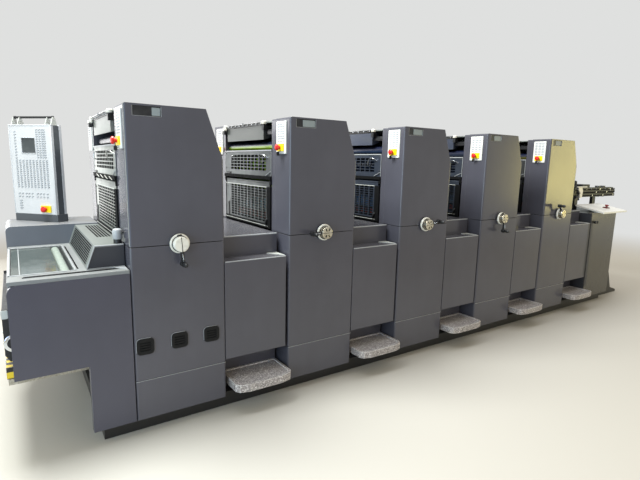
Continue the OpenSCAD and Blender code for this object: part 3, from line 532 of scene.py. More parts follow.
def warning_stripes(name, yellow, pitch):
    """Enamel in slanting yellow and black stripes, with uneven borders and grime.

    A place is black where the fraction of (Y + Z + a small wobble) / pitch is over a half.
    """
    finish, tree, shader, place = new_finish(name, yellow, 0.38)
    across = add(tree, "SeparateXYZ", {0: place}, "Y")
    height = add(tree, "SeparateXYZ", {0: place}, "Z")
    slant = add(tree, "Math", {0: across, 1: height}, operation="ADD")
    wobble = blotches(tree, place, 10, 0.0, 1.0, (0.0, 3 * MM))
    slant = add(tree, "Math", {0: slant, 1: wobble}, operation="ADD")
    turns = add(tree, "Math", {0: slant, 1: pitch}, operation="DIVIDE")
    part = add(tree, "Math", {0: turns}, operation="FRACT")
    black = add(tree, "Math", {0: part, 1: 0.5}, operation="GREATER_THAN")
    tone = add(tree, "Mix", {0: black, 6: yellow, 7: linear("1c1c1c")}, 2, **COLOURS)
    tone = patched(tree, place, tone, "5a564c", 30, 0.45, 0.7, (0.0, 0.5))
    gloss = blotches(tree, place, 30, 0.4, 0.7, (0.32, 0.6))
    join(tree, shader, Base_Color=tone, Roughness=gloss)
    return finish


def pressed_board(name, colour, dark):
    """Pressed pile board: fibres along the board and darker, handled patches."""
    finish, tree, shader, place = new_finish(name, colour, 0.62)
    fibres = blotches(tree, place, 6, 0.3, 0.7, stretch=(1, 0.06, 1))
    tone = add(tree, "Mix", {0: fibres, 6: dark, 7: colour}, 2, **COLOURS)
    tone = patched(tree, place, tone, "6d675b", 90, 0.35, 0.7, (0.0, 0.4))
    bump = add(tree, "Bump", {"Strength": 0.3, "Distance": 0.6 * MM, "Height": fibres})
    join(tree, shader, Base_Color=tone, Normal=bump)
    return finish


def display_pane(name, colour, rough):
    """Smooth window of a display; a thin greasy film dulls its gloss in places."""
    finish, tree, shader, place = new_finish(name, colour, rough)
    tone = patched(tree, place, colour, "9aa0a2", 70, 0.4, 0.7, (0.0, 0.06))
    gloss = blotches(tree, place, 70, 0.4, 0.7, (rough, rough + 0.1))
    join(tree, shader, Base_Color=tone, Roughness=gloss)
    return finish


def duct_steel(name, tones, dark):
    """Duct plate under dried ink, palest on the first tower as painted light; beyond its cheeks
    painted near black as shade.
    """
    finish, tree, shader, place = new_finish(name, tones[0], 0.36)
    # Painted light and shade: one tone per tower, palest on the first, and near black beyond the
    # cheeks along Y
    across = add(tree, "SeparateXYZ", {0: place}, "Y")
    near = add(tree, "Math", {0: across, 1: float(ZERO[1] + 330 * MM)}, operation="LESS_THAN")
    far = add(tree, "Math", {0: across, 1: float(ZERO[1] + 906 * MM)},
              operation="GREATER_THAN")
    shaded_arm_ends = add(tree, "Math", {0: near, 1: far}, operation="ADD")
    tone = add(tree, "Mix", {0: shaded_arm_ends, 6: by_tower(tree, place, tones), 7: dark}, 2, **COLOURS)
    ink = blotches(tree, place, 40, 0.45, 0.72, (0.0, 0.35), (1, 0.15, 1))
    tone = add(tree, "Mix", {0: ink, 6: tone, 7: linear("4c4f50")}, 2, **COLOURS)
    normal, _ = rounded_edges(tree, 2.0)
    bump = add(tree, "Bump", {"Strength": 0.1, "Distance": 0.4 * MM, "Height": ink,
                              "Normal": normal})
    join(tree, shader, Base_Color=tone, Normal=bump)
    return finish


FINISH = {}


def make_finishes(colours, sizes):
    """Every finish, named for what it is and how it is made."""
    slate, dark, grey, white = (list(c) for c in (colours.slate, colours.dark, colours.grey,
                                                  colours.white))
    inks = [linear("23262b"), list(colours.green_ink), linear("1f3352"), linear("2b3448"),
            linear("5d5a2c")]
    blankets = [linear("c4e4f4"), list(colours.blanket), linear("5a9eec"), linear("7fa8d4"),
                linear("7fa6c4")]
    FINISH.update(
        # Semi-gloss slate of the covers: soft reflections that lighten towards the light side
        slate=sprayed_paint("Sprayed slate enamel", slate, 0.2, dust=0.15),
        # Painted shade: the same slate made cooler and deeper for the delivery's side, out of the
        # window's light
        side=sprayed_paint("Sprayed slate enamel darkened as painted shade", linear("3f404d"), 0.25, dust=0.15),
        # Painted light: the same slate warmed for the feeder's side, where the warm light falls
        warm=sprayed_paint("Sprayed slate enamel warmed as painted light", linear("403f3c"), 0.25, dust=0.2),
        # Painted shade: the plinth and the feeder's frames made near black for the shade along the
        # floor
        base=sprayed_paint("Sprayed enamel blackened as painted shade", linear("1b1b1c"), 0.4, dust=0.1),
        # Deeper, flatter slate of the plates and frames behind, partly their own paint and partly
        # painted shade: lets the covers stand out
        dark=sprayed_paint("Sprayed dark enamel", dark, 0.5),
        # Iron grey of the console's housing: parts its white face from the dark deck
        middle=sprayed_paint("Sprayed iron grey enamel", linear("464b52"), 0.4, dust=0.1),
        # Light grey of thin lines along the folds and edges of the sheets, mostly painted
        # highlights, and of some light trim
        edging=sprayed_paint("Light grey trim and painted highlight", linear("8f949a"), 0.38, dust=0.05),
        # Silver lacquer on the top covers and the hood: bright where they face the window,
        # dark in the gaps
        grey=sprayed_paint("Silver lacquered sheet", grey, 0.36, dust=0.1, worn=0.5, soft=1.2,
                           metal=0.55),
        # Punched guards: silver on the first tower, slate grey and darker behind as painted shade;
        # the slots' walls painted black as shade
        guard=punched_sheet("Lacquered punched sheet", 0.36, [linear(c) for c in (
            "8d928e", "4c5153", "3b4352", "3a414e", "3e4042")]),
        # Warm grey enamel of the delivery's top: middle tone between glass and bright rims
        deck=sprayed_paint("Sprayed deck grey enamel", linear("72777b"), 0.3, worn=0.6),
        # Painted light: slate of the cabinet behind the tray, lighter and flatter than the covers,
        # its top lighter still under heavy dust that also stands for the light from above
        faded=sprayed_paint("Slate enamel lightened as painted light", linear("5b606a"), 0.35, dust=0.45),
        # Cool light grey coat of the console's face: light, but never burnt out
        face=sprayed_paint("Powder coated light grey sheet", linear("bcc0c8"), 0.4, dust=0.05,
                           worn=0.1),
        # White powder coat of key panels and desk: clean, slightly soiled
        white=sprayed_paint("Powder coated white sheet", white, 0.32, dust=0.12, worn=0.1),
        # Pale primer grey of rims and trim, thin light lines round the dark panels; on the first
        # tower's front corner a painted highlight
        pale=sprayed_paint("Stove enamelled pale rim and corner highlight", linear("b3b8b7"), 0.35, worn=0.3),
        # Whitish speckled plates between the towers: the brightest things low down
        tread=hammered_tread("Cast hammered aluminium", linear("9f9b9d")),
        # Bright turned steel of spindles, rods and screws
        steel=ground_steel("Turned bright steel", linear("b9bbbd"), 0.25),
        # Cylinders deep in the towers under a film of ink: barely lighter than the dark
        inked=ground_steel("Inked cylinder steel", linear("34383b"), 0.4, stain=0.7),
        # Chromed tube: nearly a mirror, with a few dull patches
        chrome=ground_steel("Polished chrome tube", linear("d2d4d6"), 0.12, stain=0.08),
        # Phosphated steel of the feeder head's rails: dark with bright rubbed places
        gunmetal=ground_steel("Phosphated dark steel", linear("5c5d5e"), 0.42, (0.03, 1, 1), 0.5),
        # Nickel plate of the later handwheels' discs: warm reflections
        nickel=ground_steel("Satin nickel plate", linear("cfc8b4"), 0.28, stain=0.5),
        # Black mouldings: small deep accents with a soft shine on their edges
        black=moulded_plastic("Moulded black plastic", linear("17181b"), 0.42),
        # Rubber of seals, and black without shine as painted shade in slots, so that they read as
        # depth
        rubber=moulded_plastic("Extruded black rubber and painted slot shade", linear("0e0f11"), 0.7, 0.2, shine=0.1),
        # Off white mouldings of handwheels, clips and caps: bright, with a soft shine
        ivory=moulded_plastic("Moulded off white plastic", linear("cfd0cb"), 0.3),
        # Printed keys: grey rows that show as lines on the white panels
        key=moulded_plastic("Printed grey keys", linear("9299a3"), 0.4),
        # Frosted sleeve of the roller beside the tray: pale green grey without shine
        frosted=moulded_plastic("Frosted roller sleeve", linear("78837e"), 0.55),
        # Stops' collars and buttons: small spots of full colour
        yellow=moulded_plastic("Moulded yellow plastic", list(colours.yellow), 0.3,
                               at_feeder=linear("5a1a18")),
        red=moulded_plastic("Moulded red plastic", list(colours.red), 0.28,
                            at_feeder=linear("7c1f1c")),
        # Brick red spray bars: warm lines deep behind the lower slots
        rust_red=sprayed_paint("Brick red enamel", linear("d2604a"), 0.4, worn=0.4),
        # Matt black of the cooling grilles: dark squares on the first cover
        vent=moulded_plastic("Moulded black louvre", linear("0b0c0e"), 0.5, 0.12, shine=0.25),
        # Tinted windows: nearly black with a dull reflection
        pane=display_pane("Tinted display window", linear("0d0e12"), 0.3),
        # Crystal displays: a grey green field inside the dark windows
        lcd=display_pane("Grey crystal display", linear("7f8b91"), 0.34),
        # Console's screen: the darkest field on its white face
        screen=display_pane("Dark console screen", linear("3c4246"), 0.3),
        # Glass over the tray: grey green, mirrors the light side
        glass=display_pane("Grey green tray glass", linear("424a49"), 0.12),
        # Ink ducts: a bright band under the towers' tops, palest on the first tower as painted
        # light, painted near black at its ends as shade
        duct=duct_steel("Lacquered duct plate", [linear(c) for c in (
            "7c807e", "3f4443", "363d4e", "303748", "34363a")], linear("121317")),
        # Inked rollers: dark, wet bands, green in the second tower
        rollers=inked_rollers("Inked roller rubber", inks),
        # Blankets: pale and deep blue patches that shine through the lower slots
        blanket=rubber_blanket("Ground blanket rubber", blankets),
        # Toe guard: yellow and black slants at the foot of the delivery's end
        stripes=warning_stripes("Striped guard enamel", linear("d8bd22"), sizes.stripe),
        # Pile boards: a pale, dull, slightly warm edge
        board=pressed_board("Pressed pile board", linear("b3aea2"), linear("8b8577")),
    )


NODE_FINISH = {
    "base": ("base_plinth", "feeder_frames"),
    "middle": ("console_cabinet",),
    "slate": ("operator_frames", "drive_frames", "toe_covers", "middle_covers", "upper_covers",
              "drive_side_covers", "link_panels", "link_housings"),
    "side": ("delivery_side_panels",),
    "warm": ("feeder_side_panels",),
    "faded": ("delivery_cabinet",),
    "dark": ("lower_bodies", "hood_side_plates"),
    "grey": ("top_guards", "delivery_hood", "feed_board"),
    "guard": ("upper_guards", "lower_guard_1", "lower_guard_2", "lower_guard_3",
              "lower_guard_4", "lower_guard_5"),
    "deck": ("delivery_top",),
    "face": ("console_face",),
    "white": ("key_panels", "feeder_desk"),
    "tread": ("step_plates",),
    "steel": ("handwheel_spindles",),
    "inked": ("steel_cylinders", "feeder_head"),
    "black": ("delivery_end_bars", "console_bar"),
    "rubber": ("guard_rails",),
    "frosted": ("delivery_roller",),
    "ivory": ("handwheel_1", "handwheel_2", "handwheel_3", "handwheel_4", "handwheel_5"),
    "yellow": ("stop_collars",),
    "red": ("stop_buttons",),
    "vent": ("vent_grilles",),
    "pane": ("display_panes",),
    "duct": ("ink_ducts",),
    "rollers": ("ink_rollers",),
    "blanket": ("blanket_cylinders",),
    "stripes": ("toe_guard",),
    "board": ("delivery_pile_board", "feeder_pile_board"),
}


def tower(k):
    """Offset of tower k from the first."""
    return np.array([k * PITCH, 0.0, 0.0])


def on_every_tower(*shapes):
    """The shapes as one, repeated on each tower."""
    return repeated(joined(*shapes), [tower(k) for k in range(TOWERS)])


def corners(node):
    """Low and high corner of a node's box, in the press's own millimetres."""
    return [(np.array(corner) - ZERO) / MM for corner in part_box(node)]


class PressOperator:
    """What the operators share: undo, and the colours and sizes of the scene."""

    bl_options = {"REGISTER", "UNDO"}


class PRESS_OT_finishes(PressOperator, bpy.types.Operator):
    """Make the finishes and give one to every solid of the frame"""

    bl_idname = "press.finishes"
    bl_label = "Paint the solids"

    def execute(self, context):
        make_finishes(context.scene.press_colours, context.scene.press_sizes)
        painted = set()
        for key, nodes in NODE_FINISH.items():
            for node in nodes:
                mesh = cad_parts[node].data
                mesh.materials.clear()
                mesh.materials.append(FINISH[key])
                painted.add(node)
        if painted != set(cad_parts):
            raise RuntimeError(f"no finish for {set(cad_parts) - painted}")
        return {"FINISHED"}


class PRESS_OT_key_panels(PressOperator, bpy.types.Operator):
    """Keys, lamps and key switches on the towers' key panels, and the displays' windows"""

    bl_idname = "press.key_panels"
    bl_label = "Key panels and displays"

    def execute(self, context):
        (_, near, bottom), (_, far, top) = corners("key_panels")
        far -= KEY_PANEL_W
        rows = context.scene.press_sizes.key_rows
        key = plate((-7.0, -11, -4.2), (-5.5, 11, 4.2), "x", 2.0)
        lamp = turned([(0, -1), (2.2, -1), (2.2, 1.4), (0, 2.0)], (-6, 0, 0), (-1, 0, 0), 10)
        keys, lamps, switch, bow = [], [], [], []
        for k in range(TOWERS):
            for y0 in (near, far):
                z = top - 16 - np.arange(rows) * KEY_PITCH
                y = y0 + np.array([22.0, 54.0, 86.0])
                grid = np.stack(np.meshgrid([k * PITCH], y, z, indexing="ij"), -1).reshape(-1, 3)
                keys.append(grid)
                lamps.append(grid[grid[:, 1] < y0 + 80] + [0, 15.5, 1.0])
                if k or y0 == near:
                    at = tower(k) + [-6, y0 + 0.62 * KEY_PANEL_W, bottom + 9]
                    switch.append(turned([(0, -1), (7, -1), (7, 4), (5, 6), (0, 6)], at,
                                         (-1, 0, 0), 20))
                    bow.append(plate(at + [-22, -2, -20], at + [-5, 2, 3], "y", 5))
        parts = [("key", repeated(key, np.concatenate(keys))),
                 ("black", repeated(lamp, np.concatenate(lamps))),
                 ("steel", joined(*switch)), ("black", joined(*bow))]
        piece("key_panel_keys", parts, edge=0)
        rims = [tower(k) + [0, y0, bottom] for k in range(TOWERS) for y0 in (near, far)]
        back = plate((-2.2, -2, -2), (0.5, KEY_PANEL_W + 2, top - bottom + 2), "x", 5)
        piece("key_panel_backs", [("pale", repeated(back, rims))], edge=0)
        windows = [plate(tower(k) + [84 if k else 128, 3.4, 1599],
                         tower(k) + [166, 5.2, 1636], "y", 2) for k in range(TOWERS)]
        bezels = on_every_tower(plates("y", 1, ((38.4, 0.6, 1594.4), (40.4, 5.2, 1640.6)),
                                       ((169.6, 0.6, 1594.4), (171.6, 5.2, 1640.6)),
                                       ((38.4, 0.6, 1594.4), (171.6, 5.2, 1596.0))))
        piece("display_windows", [("lcd", joined(*windows)), ("edging", bezels)], edge=0)
        return {"FINISHED"}


class PRESS_OT_handwheels(PressOperator, bpy.types.Operator):
    """Handwheels: a dished ring, a split front disc, a dark lever and its knob"""

    bl_idname = "press.handwheels"
    bl_label = "Handwheels"
    centre = (235, 0, 983)
    crank_angles = (4, -90, 100, 0, -140)
    crank_length = 100.0

    def execute(self, context):
        out = (0, -1, 0)
        for k, crank in enumerate(self.crank_angles):
            c = tower(k) + self.centre
            end = c - [0, 0, self.crank_length]
            ring = turned([(0, 7.5), (44, 7.5), (48.5, 10), (50, 15), (49.6, 21), (47, 25.5),
                           (42, 26), (40, 23), (0, 23)], c, out, 48)
            groove = drum(c, out, 41.5, 22, 27.5, 44)
            disc = turned([(0, 26), (38, 26), (38, 50), (37, 54), (34, 56), (0, 57)], c, out, 44)
            slot = plate(c + [-1.6, -57.6, -36], c + [1.6, -54, 36], "y", 1)
            notch = plate(c + [-12, -29.5, 34], c + [12, -24, 47], "y", 4)
            marks = joined(*[turned_about_y(plate(c + [-4, -57.4, 12], c + [4, -54, 30], "y", 3),
                                            c, a) for a in (60, 120, 240, 300)])
            arm = plate(c + [-9, -50, -100], c + [9, -39, -28], "y", 8)
            boss = drum(end, out, 15, 32, 58, 24)
            link = rod([c + [0, -44, -46], c + [0, -54, -52], c + [0, -55, -78],
                        c + [0, -48, -88]], 3.2)
            knob = turned([(0, 56), (8, 56), (9, 60), (11.6, 70), (12, 82), (10.5, 94),
                           (7, 99), (0, 100)], end, out, 24)
            front = "nickel" if k else "ivory"
            shapes = [("ivory", ring), ("black", groove), (front, disc), ("rubber", slot),
                      ("black", notch), *([("rubber", marks)] if k else []),
                      ("black", arm), ("black", boss), ("steel", link), ("black", knob)]
            parts = [(f, turned_about_y(s, c, -crank)) for f, s in shapes]
            piece(f"handwheel_{k + 1}_dressed", parts, f"handwheel_{k + 1}",
                  replaces=(f"handwheel_{k + 1}",))
        return {"FINISHED"}


class PRESS_OT_guards(PressOperator, bpy.types.Operator):
    """Seals, rims, handles and screws on the slotted guards"""

    bl_idname = "press.guards"
    bl_label = "Guard trim"

    def execute(self, context):
        for k in range(TOWERS):
            at = tower(k)

            def strip(low, high, radius=1.0):
                return plate(at + low, at + high, "x", radius)

            seal = joined(strip((-7, 228, 984.5), (-1.6, 278, 1243)),
                          strip((-7, 278, 984.5), (-1.6, 937, 1012)),
                          strip((-5, 931, 1012), (-1.6, 937, 1243)))
            rims = joined(strip((-7.8, 262, 996), (-6.6, 934, 1000)),
                          strip((-4.5, 278, 1239), (-1.6, 931, 1243)))
            slot_handle = strip((-7, 874, 1006), (-1.6, 892, 1109), 6)
            latch = rod([at + [-5, 266, 1046], at + [-13, 270, 1036], at + [-14, 279, 1014],
                         at + [-4, 284, 1002]], 6, 10)
            heads = [at + [-2, y, z] for y, z in ((264, 998), (262, 1222), (905, 1222))]
            screws = joined(*[screw(h, (-1, 0, 0), 5) for h in heads])
            piece(f"lower_guard_{k + 1}_trim",
                  [("rubber", seal), ("pale", rims),
                   ("black", slot_handle), ("black", latch),
                   ("gunmetal", screws)], f"lower_guard_{k + 1}")
        hooks = []
        for path in (((-1, 350, 1383), (-20, 347, 1396), (-26, 334, 1424), (-25, 312, 1438),
                      (-18, 285, 1434), (-1, 266, 1420)),
                     ((-1, 779, 1434), (-20, 779, 1433), (-25, 778, 1412), (-20, 778, 1393),
                      (-1, 778, 1391))):
            hooks.append(rod(curve_through(path), 3.4, 10))
        corner = carried([(0, 0), (-70, 0), (0, 30)], (-6, 222, 1310), (-1.8, 222, 1310),
                         (0, -1, 0))
        edge_strip = rod([(-6, 228, 1338), (-6, 262, 1324), (-6, 292, 1311)], 2.6, 8)
        catch = plate((-7, 842, 1311), (-1.6, 912, 1324), "x", 5)
        rims = plates("x", 1.5, ((-5, 221, 1462), (-1.6, 944, 1469.5)),
                      ((-4, 221, 1310), (-1.6, 225, 1462)),
                      ((-4, 940, 1310), (-1.6, 944, 1462)))
        heads = joined(*[screw((-2.0, y, z), (-1, 0, 0), 4.5)
                         for y in (240, 924) for z in (1350, 1450)])
        clips = [carried([(0, 0), (0, 5), (90, 22), (90, 17)], (-13.2, y, 1284),
                         (-12.2, y, 1284), (0, 1, 0)) for y in (290, 430, 570, 710)]
        piece("upper_guard_trim",
              [("steel", on_every_tower(*hooks)),
               ("black", on_every_tower(corner, catch)),
               ("edging", on_every_tower(edge_strip, rims)),
               ("gunmetal", on_every_tower(heads)),
               ("ivory", joined(*clips))])
        return {"FINISHED"}


class PRESS_OT_ink_units(PressOperator, bpy.types.Operator):
    """What shows round the ink ducts: key bar, bolts, end clamps, gears and spray bars"""

    bl_idname = "press.ink_units"
    bl_label = "Ink unit details"

    def execute(self, context):
        bar = plate((-3, 334, 1622), (5, 905, 1644), "x", 2)
        bolts = repeated(turned([(0, -1), (6.5, -1), (6.5, 4), (5, 5), (0, 5)], (-3, 0, 1633),
                                (-1, 0, 0), 6), [(0, y, 0) for y in np.linspace(360, 880, 9)])
        clamp_y = (318.0, 926.0)
        clamps = joined(*[plate((-14, y - 13, 1588), (14, y + 13, 1626), "x", 4)
                          for y in clamp_y])
        clamps = joined(clamps, plate((-26, 905, 1584), (-6, 943, 1608), "x", 3))
        caps = joined(*[turned([(0, 0), (16, 0), (17, 4), (16, 16), (12, 20), (0, 21)],
                               (-4, y, 1626), (0, 0, 1), 20) for y in clamp_y],
                      plate((-27, 905, 1608.4), (-6, 943, 1624), "x", 4))
        rail = straight((-12, 330, 1640), (-12, 914, 1640), 3.4, 10)
        collar = drum((-12, 620, 1640), (0, 1, 0), 7, -9, 9, 16)
        # Painted shade: dark sheets on the frames' inner faces stand for the shade inside the
        # towers
        inner = joined(*[plate((16, y0, 910), (TOWER_W - 16, y0 + 1.6, 1620), "y", 2)
                         for y0 in (221.0, 942.4)])
        spray = joined(*[straight((23, 234, z), (23, 745, z), 7.5, 14) for z in (1046, 1066)])
        brackets = joined(*[plate((15, y, 1036), (31, y + 10, 1076), "y", 4)
                            for y in (300, 575, 730)])
        gear = [drum((x, 221, z), (0, 1, 0), r, 0, 9, 36)
                for x, z, r in ((240, 1250, 52), (150, 1350, 38), (240, 1420, 34))]
        piece("ink_unit_fittings",
              [("gunmetal", on_every_tower(bar)),
               ("steel", on_every_tower(bolts, rail, collar)),
               ("black", on_every_tower(clamps)),
               ("ivory", on_every_tower(caps)),
               ("dark", on_every_tower(inner, *gear)),
               ("rust_red", on_every_tower(spray, brackets))], edge=0)
        return {"FINISHED"}


class PRESS_OT_covers(PressOperator, bpy.types.Operator):
    """Painted highlights on the covers: light strips along the toe fold and the first tower's
    front corner, and light rims on the upper left of the cooling grilles
    """

    bl_idname = "press.covers"
    bl_label = "Cover folds and vent rims"

    def execute(self, context):
        toe = corners("toe_covers")[1][2]
        # Painted highlight: a light strip along the top edge of each toe cover
        fold_highlight = plate((1, -0.7, toe - 0.6), (TOWER_W - 1, 0.4, toe + 2.2), "y", 1)
        # Painted highlight: a pale strip down the first tower's front corner
        corner = plate((-0.2, -0.7, 985), (1.4, 0.5, 1648), "y", 0.8)
        low, high = corners("vent_grilles")
        half, r = (high[2] - low[2]) / 2, 19.0
        reach = half + 0.4
        t = np.linspace(math.pi, math.pi / 2, 7)
        bend = np.stack([-reach + r + r * np.cos(t), np.full(7, -1.2),
                         half - r + r * np.sin(t)], 1)
        path = np.concatenate([[[-reach, -1.2, 14 - half]], bend, [[reach - 14, -1.2, half]]])
        centre = np.array([low[0] + half, 0, (low[2] + high[2]) / 2])
        pitch = (high[0] - low[0]) / 2 - half
        # Painted highlight: light rims on only the upper left of each grille
        rims = repeated(rod(path, 1.5, 8), [centre + [k * pitch, 0, 0] for k in range(3)])
        piece("cover_highlights", [("edging", on_every_tower(fold_highlight)), ("pale", corner),
                              ("edging", rims)], edge=0)
        return {"FINISHED"}


class PRESS_OT_links(PressOperator, bpy.types.Operator):
    """Ledge wedges and light rims between the towers, the rims painted highlights along the edges,
    and the screws that hold the step plates
    """

    bl_idname = "press.links"
    bl_label = "Link panels and steps"

    def execute(self, context):
        x0 = TOWER_W
        end, _, ledge = corners("link_panels")[1]
        end -= (TOWERS - 1) * PITCH
        riser = corners("link_housings")[1][2]
        wedge = carried([(0, 0), (0, 98), (-70, 98)], (end - 1, 16, ledge - 0.2),
                        (end - 1, 16, ledge + 4), (1, 0, 0))
        # Painted highlight: light rods along the ledge's and riser's front edges
        rim = joined(straight((x0 + 3, 2.5, ledge - 1.6), (end - 2, 2.5, ledge - 1.6), 3.4),
                     straight((end - 1.6, 3, ledge - 1.8), (end - 1.6, 114, ledge - 1.8), 3.0),
                     straight((x0 + 3, 118, riser - 2.6), (end - 2, 118, riser - 2.6), 4.6),
                     straight((end - 1.8, 119, ledge), (end - 1.8, 119, riser - 2), 2.6))
        screws = joined(*[screw((x0 + x, 100, 174.2), (0, 0, 1), 6) for x in (60, 320)])
        piece("link_trim", [("pale", on_every_tower(wedge)),
                            ("edging", on_every_tower(rim)),
                            ("steel", on_every_tower(screws))])
        return {"FINISHED"}


class PRESS_OT_delivery(PressOperator, bpy.types.Operator):
    """Tray glass and frame, hood rims, black fills in the hood's slots as painted shade, knob cap,
    end tube and end bar
    """

    bl_idname = "press.delivery"
    bl_label = "Delivery details"
    hood_top, hood_run, slot_count = 981.0, 41.0, 9

    def execute(self, context):
        low, high = corners("delivery_top")
        x_end, deck = low[0], high[2]
        tray_low, tray_end = x_end + 3, x_end + 267
        glass = plate((tray_low + 12, 128, deck - 10), (tray_end - 60, 852, deck - 5), "z", 3)
        inner = straight((tray_low + 46, 130, deck - 4), (tray_low + 46, 850, deck - 4), 2.2, 8)
        x0, y0, z0 = tray_low - 1, 117, deck - 1
        x1, y1, z1 = tray_end + 8, 866, deck + 2.5
        surround = plates("z", 2, ((x0, y0, z0), (x1, y0 + 9, z1)),
                          ((x0, y1 - 9, z0), (x1, y1, z1)), ((x0, y0, z0), (x0 + 8, y1, z1)),
                          ((x1 - 5, y0, z0), (x1, y1, z1)))
        slope = rod([(-176, 105, deck + 1), (-156, 105, 925), (-136, 105, 979)], 3.2, 8)
        top = rod([(-136, 105, 979), (-70, 105, 979.5), (-6, 105, 979.5)], 3.2, 8)
        foot = straight((-176, 105, deck + 2), (-6, 105, deck + 2), 2.6, 8)
        cap = turned([(0, 22), (22.4, 22), (23.4, 28), (23.4, 60), (20, 69), (13, 73.2),
                      (0, 74)], (-27, 139, 981), (0, 0, 1), 32)
        base = drum((-27, 139, 981), (0, 0, 1), 19, 0, 21, 28)
        lever = rod([(-12, 122, 1030), (-6, 116, 1036), (-4, 112, 1042)], 4, 10)
        tube = drum((-482, 59, 586), (0, 1, 0), 43.5, 0, 812, 48)
        bar_face = plate((-523.5, 60, 668), (-520, 870, 684), "x", 2)
        bar_lip = plate((-523.5, 60, 700), (-520, 870, 726), "x", 2)
        flange = turned([(0, 0), (24, 0), (24, 1.5), (40, 1.5), (40, 3.5), (36, 5), (0, 5)],
                        (-485.5, 45.5, 586), (0, -1, 0), 40)
        hollow = drum((-485.5, 45.5, 586), (0, -1, 0), 27, 5, 5.8, 32)
        end_cap = plate((-526, 40.5, 700), (-500, 44.8, 738), "y", 4)
        corner = joined(*[screw((-521.8, y, z), (-1, 0, 0), 6)
                          for y in (52.0, 878.0) for z in (500.0, 640.0, 716.0)])
        slot_fill = carried([(0, 0), (22, 0), (20, 24), (-26, 24)], (x_end + 72, 54, deck - 10),
                            (x_end + 72, 54, deck - 1.5), (1, 0, 0))
        slot_fill = joined(slot_fill, plate((x_end + 62, 51, deck - 10), (-40, 83, deck + 0.7),
                                            "z", 2))
        wedge = carried([(0, 0), (0, 84), (-66, 84)], (-8, 22, deck - 0.2), (-8, 22, deck + 4),
                        (1, 0, 0))
        ledge = plate((x_end + 6, 2.6, deck - 0.6), (-6, 50, deck + 0.8), "z", 3)
        strip = plate((tray_end + 14.5, 146, deck - 9), (tray_end + 21.5, 824, deck - 1.5),
                      "z", 1)
        uphill = np.array([self.hood_run, 0, self.hood_top - deck])
        length = np.linalg.norm(uphill)
        uphill /= length
        outward = np.array([-uphill[2], 0, uphill[0]])
        hood_foot = np.array([-136 - self.hood_run, 0, deck])
        outline = [uphill * a + outward * b for a, b in ((11.4, -3), (19.8, -3), (19.8, 0.3),
                                                         (11.4, 0.3))]
        # Painted shade: black slats set in the hood's slots, and in the five slots of its top
        slat = carried([(x, -z) for x, _, z in outline], hood_foot + [0, 176, 0],
                       hood_foot + [0, 869, 0], (1, 0, 0))
        steps = np.arange(self.slot_count)[:, None] * (length - 18) / self.slot_count * uphill
        top_slot = plate((-88.5, 372, 977), (-79, 862, 981.4), "z", 2)
        hood_slot_shade = joined(repeated(slat, steps),
                            repeated(top_slot, [(k * 15, 0, 0) for k in range(5)]))
        piece("delivery_fittings",
              [("glass", glass),
               ("pale", end_cap), ("deck", ledge),
               ("edging", joined(slope, top, foot, cap, surround, inner, wedge)),
               ("black", joined(base, lever)),
               ("rubber", joined(slot_fill, strip, hood_slot_shade)),
               ("chrome", joined(tube, flange)), ("black", hollow),
               ("pale", bar_face),
               ("gunmetal", bar_lip), ("steel", corner)])
        return {"FINISHED"}


class PRESS_OT_console(PressOperator, bpy.types.Operator):
    """Keys, screen, edges and handle brackets of the console"""

    bl_idname = "press.console"
    bl_label = "Console"
    place = (-439.0, 1263.0, 988.0)
    turn = -47.0

    def stand(self, shape):
        """From the console's own frame, X along its face and Z up from the deck, to the press."""
        verts, faces = shape
        a = math.radians(self.turn)
        x = verts[:, 0] * math.cos(a) - verts[:, 1] * math.sin(a)
        y = verts[:, 0] * math.sin(a) + verts[:, 1] * math.cos(a)
        return np.stack([x, y, verts[:, 2]], 1) + self.place, faces

    def execute(self, context):
        key = plate((-4.2, -1.6, -3.8), (4.2, 0.4, 3.8), "y", 1.2, 3)
        dot = plate((-1.8, -1.2, -2.2), (1.8, 0.4, 2.2), "y", 1.4, 3)

        def grid(xs, zs):
            return np.array([(x, 0, z) for x in xs for z in zs], float)

        columns = np.concatenate([
            grid(np.linspace(42, 268, 10), np.linspace(218, 384, 15)),
            grid([42], np.linspace(398, 560, 10)),
            grid([206, 226, 246, 262], np.linspace(404, 572, 13)),
            grid([42, 66, 96, 116, 140, 180, 204, 228, 256], [156, 176]),
            grid([46, 54], np.linspace(82, 130, 4))])
        lamps = columns + [8.5, 0, 2]
        screen = plate((90.8, 3, 431), (192.4, 6.8, 523.4), "y", 2)
        bezel = plates("y", 1, ((88, -1.5, 428), (91, 6.8, 526.4)),
                       ((192.2, -1.5, 428), (195.2, 6.8, 526.4)),
                       ((88, -1.5, 523.4), (195.2, 6.8, 526.4)),
                       ((88, -1.5, 428), (195.2, 6.8, 431)))
        frame_edges = joined(plates("x", 1.5, ((308, -1.5, 46), (319, 16, 603)),
                                    ((-1, -1.5, 46), (5, 16, 603)),
                                    ((-1, -1.5, 598), (319, 18, 604)),
                                    ((310, 62, 46), (320.5, 80, 606))),
                             plate((2, 60, 590), (318, 78, 606), "y", 3))
        side = carried([(14, 44), (62, 44), (62, 600), (16, 600)], (310, 0, 0), (318, 0, 0),
                       (0, 1, 0))
        bracket = carried([(12, 0), (66, 0), (50, 44), (36, 54), (28, 44)], (0, 0, 602),
                          (4, 0, 602), (0, 1, 0))
        brackets = repeated(bracket, [(8, 0, 0), (54, 0, 0), (262, 0, 0), (304, 0, 0)])
        grip = straight((14, 40, 652), (306, 40, 652), 7, 14)
        knobs = joined(*[drum((x, 40, 652), (1, 0, 0), 9, -4, 4, 16) for x in (16, 300)])
        parts = [("key", repeated(key, columns)), ("black", repeated(dot, lamps)),
                 ("screen", screen), ("face", joined(frame_edges, bezel)), ("middle", side),
                 ("pale", brackets), ("black", joined(grip, knobs))]
        piece("console_fittings", [(f, self.stand(s)) for f, s in parts], edge=0,
              replaces=("console_bar",))
        return {"FINISHED"}


